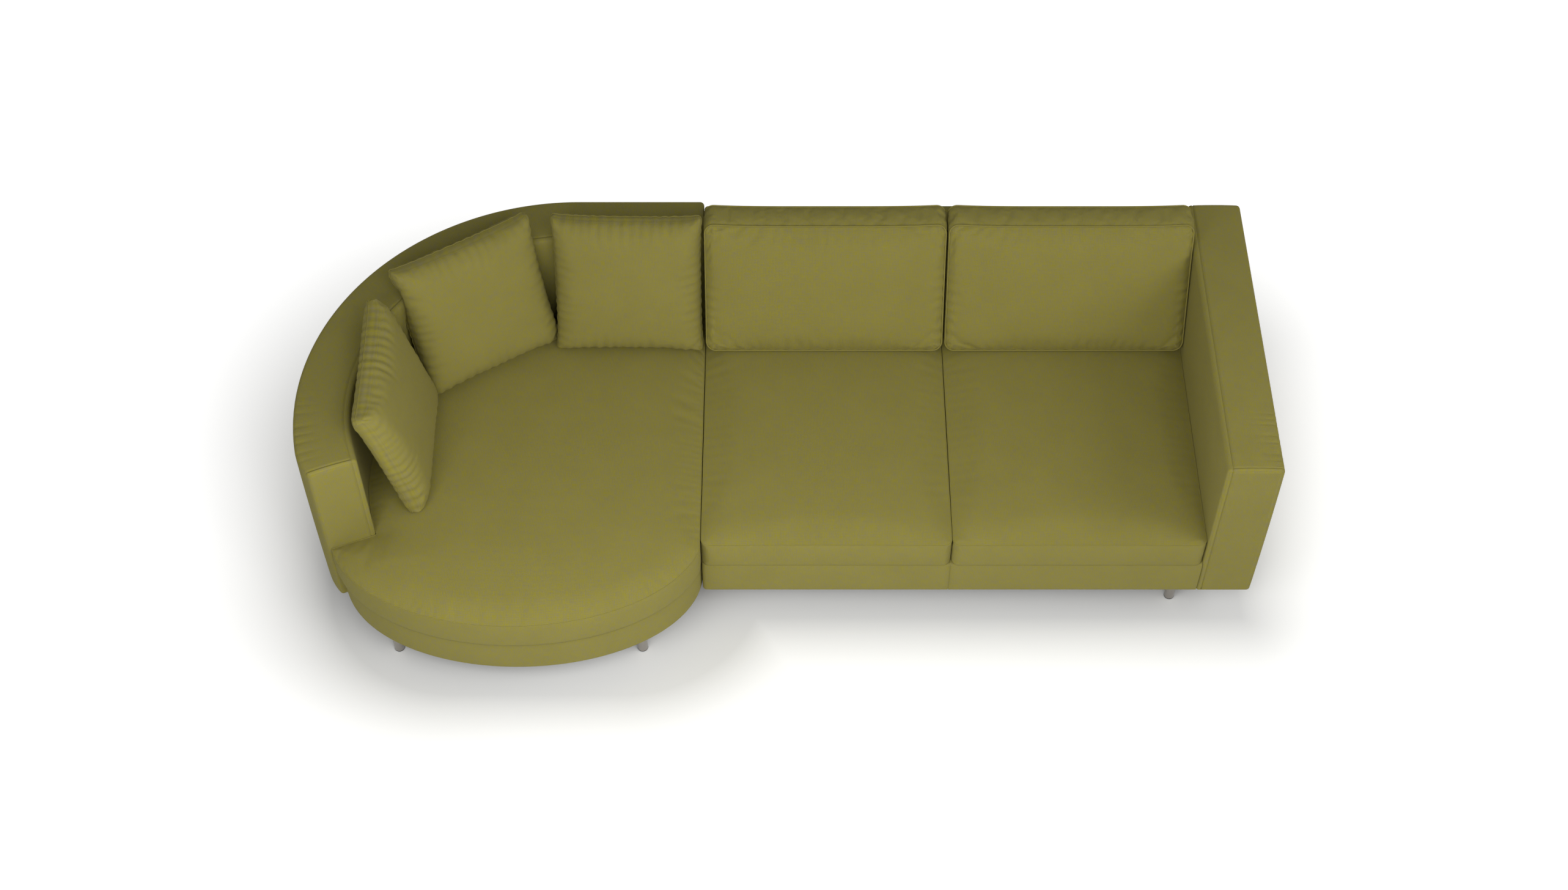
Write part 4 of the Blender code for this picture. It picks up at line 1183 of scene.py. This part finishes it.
pillow_side = 0.752 * inner_radius
pillow_pull = 0.034
pillow_front = 0.053
pillow_rear = 0.023
pillow_crown = 0.012
pillow_squareness = 12
pillow_fullness = 0.36
pillow_corner = 0.015
pillow_spacing = 0.0074
pillow_seam = 0.0010
pillow_fold = 0.0013
pillow_wave = 0.0014
pucker_reach = 0.050
pucker_pitch = 0.029
pillow_slack = 0.025
front_swell = 0.010
rear_swell = 0.003
press_step = 0.0015
press_tries = 30
wall_clearance = 0.0015
over_wall = 0.004
spill_over_wall = 1.2
neighbour_clearance = 0.003
scatter = make_melange("scatter_melange_weave", "#948b32", "#8a8256")
pillow_stands = {
    "right": ((0.250, 0.762), -1, 20),
    "middle": ((-0.436, 0.646), 32, 18),
    "left": ((-0.757, 0.085), 91.5, 13.3),
}


def dented(spots):
    """Presses in what would enter the wall or the back cushion that a scatter cushion leans on."""
    aside = np.minimum(spots[:, 0] - corner_x, 0)
    ahead = spots[:, 1] - corner_y
    above = np.maximum(spots[:, 2] - wall_top - over_wall, 0)
    room = inner_radius - wall_clearance + spill_over_wall * above
    over = np.minimum(room / np.maximum(np.hypot(aside, ahead), 1e-6), 1) - 1
    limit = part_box("back_cushion_left")[0].x - neighbour_clearance
    x = np.minimum(spots[:, 0] + aside * over, limit)
    return np.column_stack([x, spots[:, 1] + ahead * over, spots[:, 2]])


def pressed_back(pieces, others, heading):
    """Presses back, a little at a time, what cuts the scatter cushions that stand there already."""
    step = Matrix.Rotation(math.radians(heading), 3, "Z") @ Vector((0, press_step, 0))
    depsgraph = bpy.context.evaluated_depsgraph_get()
    trees = [BVHTree.FromObject(other, depsgraph) for other in others]
    for piece in pieces:
        vertices, faces = piece.data.vertices, piece.data.polygons
        for _ in range(press_tries):
            own = BVHTree.FromPolygons([v.co for v in vertices], [face.vertices[:] for face in faces])
            cut = {face for tree in trees for face, _ in own.overlap(tree)}
            for index in {index for face in cut for index in faces[face].vertices}:
                vertices[index].co += step
            if not cut:
                break


def add_pillow(side, shares, heading, lean, beside):
    """One scatter cushion; its foot is at shares of the wall's inner radius from the corner's middle."""
    half = pillow_side / 2
    panel = grid_panel(half, half, pillow_corner, pillow_spacing)
    points, _, rim = panel
    plan = drawn_in(points, half, half, pillow_pull, power=4)
    across, up = np.abs(points.T) / half
    inward = (1 - across**pillow_squareness) * (1 - up**pillow_squareness)
    fullness = np.clip(inward, 0, 1) ** pillow_fullness
    middle = (1 - across**2) * (1 - up**2)
    folds = gathers(plan[rim], plan, pucker_reach, pucker_pitch, heading)
    plan *= 1 + pillow_wave / half * folds[:, None]
    turn = Matrix.Rotation(math.radians(heading), 3, "Z") @ Matrix.Rotation(math.radians(-lean), 3, "X")
    foot = (corner_x + inner_radius * shares[0], corner_y + inner_radius * shares[1], seam_top)

    def place(depth, crown, fold):
        lift = depth * fullness + crown * middle + fold * folds * np.minimum(fullness * 1.5, 1)
        flat = np.column_stack([plan[:, 0], -lift, plan[:, 1] + half])
        return dented(flat @ np.array(turn).T + foot)

    body = f"scatter_{side}"
    front = place(pillow_front, pillow_crown, pillow_fold)
    rear = place(-pillow_rear, 0.0, -pillow_fold / 2)
    piece, _ = sew(f"{body}_case", panel, front, rear, None, 0, scatter)
    caps = np.full(len(piece.data.vertices), rear_swell)
    caps[: len(points)] = front_swell
    inflate(piece, rim, pillow_slack, caps)
    piece.data.vertices.foreach_set("co", dented(spots_of(piece.data)).ravel())
    finish_case(piece, [rim], body, f"pillow_{side}")
    line = place(0.0, 0.0, 0.0)[rim]
    seam = add_piping(f"{body}_seam", line, pillow_seam, body, scatter)
    rest_on([piece, seam], [chaise_case])
    pressed_back([piece, seam], beside, heading)
    return [piece, seam]


pillows = []
for side, (shares, heading, lean) in pillow_stands.items():
    pillows += add_pillow(side, shares, heading, lean, pillows)

# Studio
# A white floor under a dim even sky, with soft lights at the front and on the right. Away from the
# units the floor also glows white for the camera, a painted light that fades to nothing near them.
# The camera stands where the photograph was taken from.

camera_place = (0.0, -3.8100, 5.3993)
camera_pitch = 37.112
dome = 0.25
floor_half = 20.0
floor_fade = 2.2

scene = bpy.context.scene
world = bpy.data.worlds.new("studio")
scene.world = world
world.use_nodes = True
tree = world.node_tree
rays = add(tree, "LightPath").outputs
seen = add(tree, "Math", {0: rays["Is Camera Ray"], 1: rays["Is Glossy Ray"]}, operation="MAXIMUM")
seen = add(tree, "Math", {0: seen.outputs[0], 1: rays["Is Transmission Ray"]}, operation="MAXIMUM")
strength = add(tree, "MapRange", {"Value": seen.outputs[0], "To Min": dome, "To Max": 1.0})
tree.nodes["Background"].inputs["Color"].default_value = (1, 1, 1, 1)
tree.links.new(strength.outputs["Result"], tree.nodes["Background"].inputs["Strength"])

glowing_floor, tree, shader = start_material(
    "studio_floor", Base_Color=linear("#f2f2f0"), Roughness=0.95, Specular_IOR_Level=0.1,
    Emission_Color=(1, 1, 1, 1),
)
rays = add(tree, "LightPath").outputs
place = add(tree, "TexCoord").outputs["Object"]


def clear_of(centre, half, radius):
    """Distance on the floor from a rounded box round one unit."""
    away = add(tree, "VectorMath", {0: place, 1: centre}, operation="SUBTRACT").outputs[0]
    away = add(tree, "VectorMath", {0: away}, operation="ABSOLUTE").outputs[0]
    away = add(tree, "VectorMath", {0: away, 1: half}, operation="SUBTRACT").outputs[0]
    away = add(tree, "VectorMath", {0: away, 1: (0, 0, 0)}, operation="MAXIMUM").outputs[0]
    away = add(tree, "VectorMath", {0: away}, operation="LENGTH").outputs["Value"]
    return add(tree, "Math", {0: away, 1: radius}, operation="SUBTRACT").outputs[0]


# The floor's glow is painted light for the camera only: nothing at the two units, rising to white away
# from them. Near the units the floor is darker by painted shade as well as by their real shadow.
from_sofa = clear_of(centre=(0.553, 0.129, 0), half=(0.787, 0.488, 0), radius=0)
from_chaise = clear_of(centre=(-0.7, 0, 0), half=(0.24, 0.22, 0), radius=0.4)
beside = add(tree, "Math", {0: from_sofa, 1: from_chaise}, operation="MINIMUM")
fall = add(tree, "Math", {0: beside.outputs[0], 1: -floor_fade}, operation="MULTIPLY").outputs[0]
fall = add(tree, "Math", {0: fall, 1: 0.0}, operation="MINIMUM").outputs[0]
fall = add(tree, "Math", {0: fall}, operation="EXPONENT").outputs[0]
glow_strength = add(tree, "Math", {0: 1.0, 1: fall}, operation="SUBTRACT").outputs[0]
glow = add(tree, "Math", {0: rays["Is Camera Ray"], 1: glow_strength}, operation="MULTIPLY")
tree.links.new(glow.outputs[0], shader.inputs["Emission Strength"])
mesh = bpy.data.meshes.new("studio_floor")
corners = [(x * floor_half, y * floor_half, 0) for x, y in ((-1, -1), (1, -1), (1, 1), (-1, 1))]
mesh.from_pydata(corners, [], [(0, 1, 2, 3)])
mesh.materials.append(glowing_floor)
floor = set_up("studio_floor", mesh)


def add_softbox(name, place, aim, width, height, power):
    """A rectangular soft light that faces a point of the sofa."""
    light = bpy.data.lights.new(name, "AREA")
    light.shape = "RECTANGLE"
    light.size = width
    light.size_y = height
    light.energy = power
    lamp = set_up(name, light)
    lamp.location = place
    lamp.rotation_euler = (Vector(aim) - lamp.location).to_track_quat("-Z", "Y").to_euler()


add_softbox("near_left_softbox", (-0.9, -1.7, 1.7), (-0.5, 0.1, 0.3), 1.6, 1.0, power=20)
add_softbox("near_right_softbox", (0.9, -1.7, 1.7), (0.5, 0.1, 0.3), 1.6, 1.0, power=8.5)
add_softbox("front_softbox", (0.7, -2.2, 3.2), (0.2, -0.1, 0.3), 1.6, 1.6, power=26)
add_softbox("right_softbox", (3.2, -0.8, 2.2), (0.0, 0.0, 0.3), 1.6, 1.6, power=23)

lens = bpy.data.cameras.new("camera")
lens.lens = 50
lens.sensor_width = 36
camera = set_up("camera", lens)
camera.location = camera_place
camera.rotation_euler = (math.radians(camera_pitch), 0, 0)
scene.camera = camera
scene.view_settings.view_transform = "Standard"
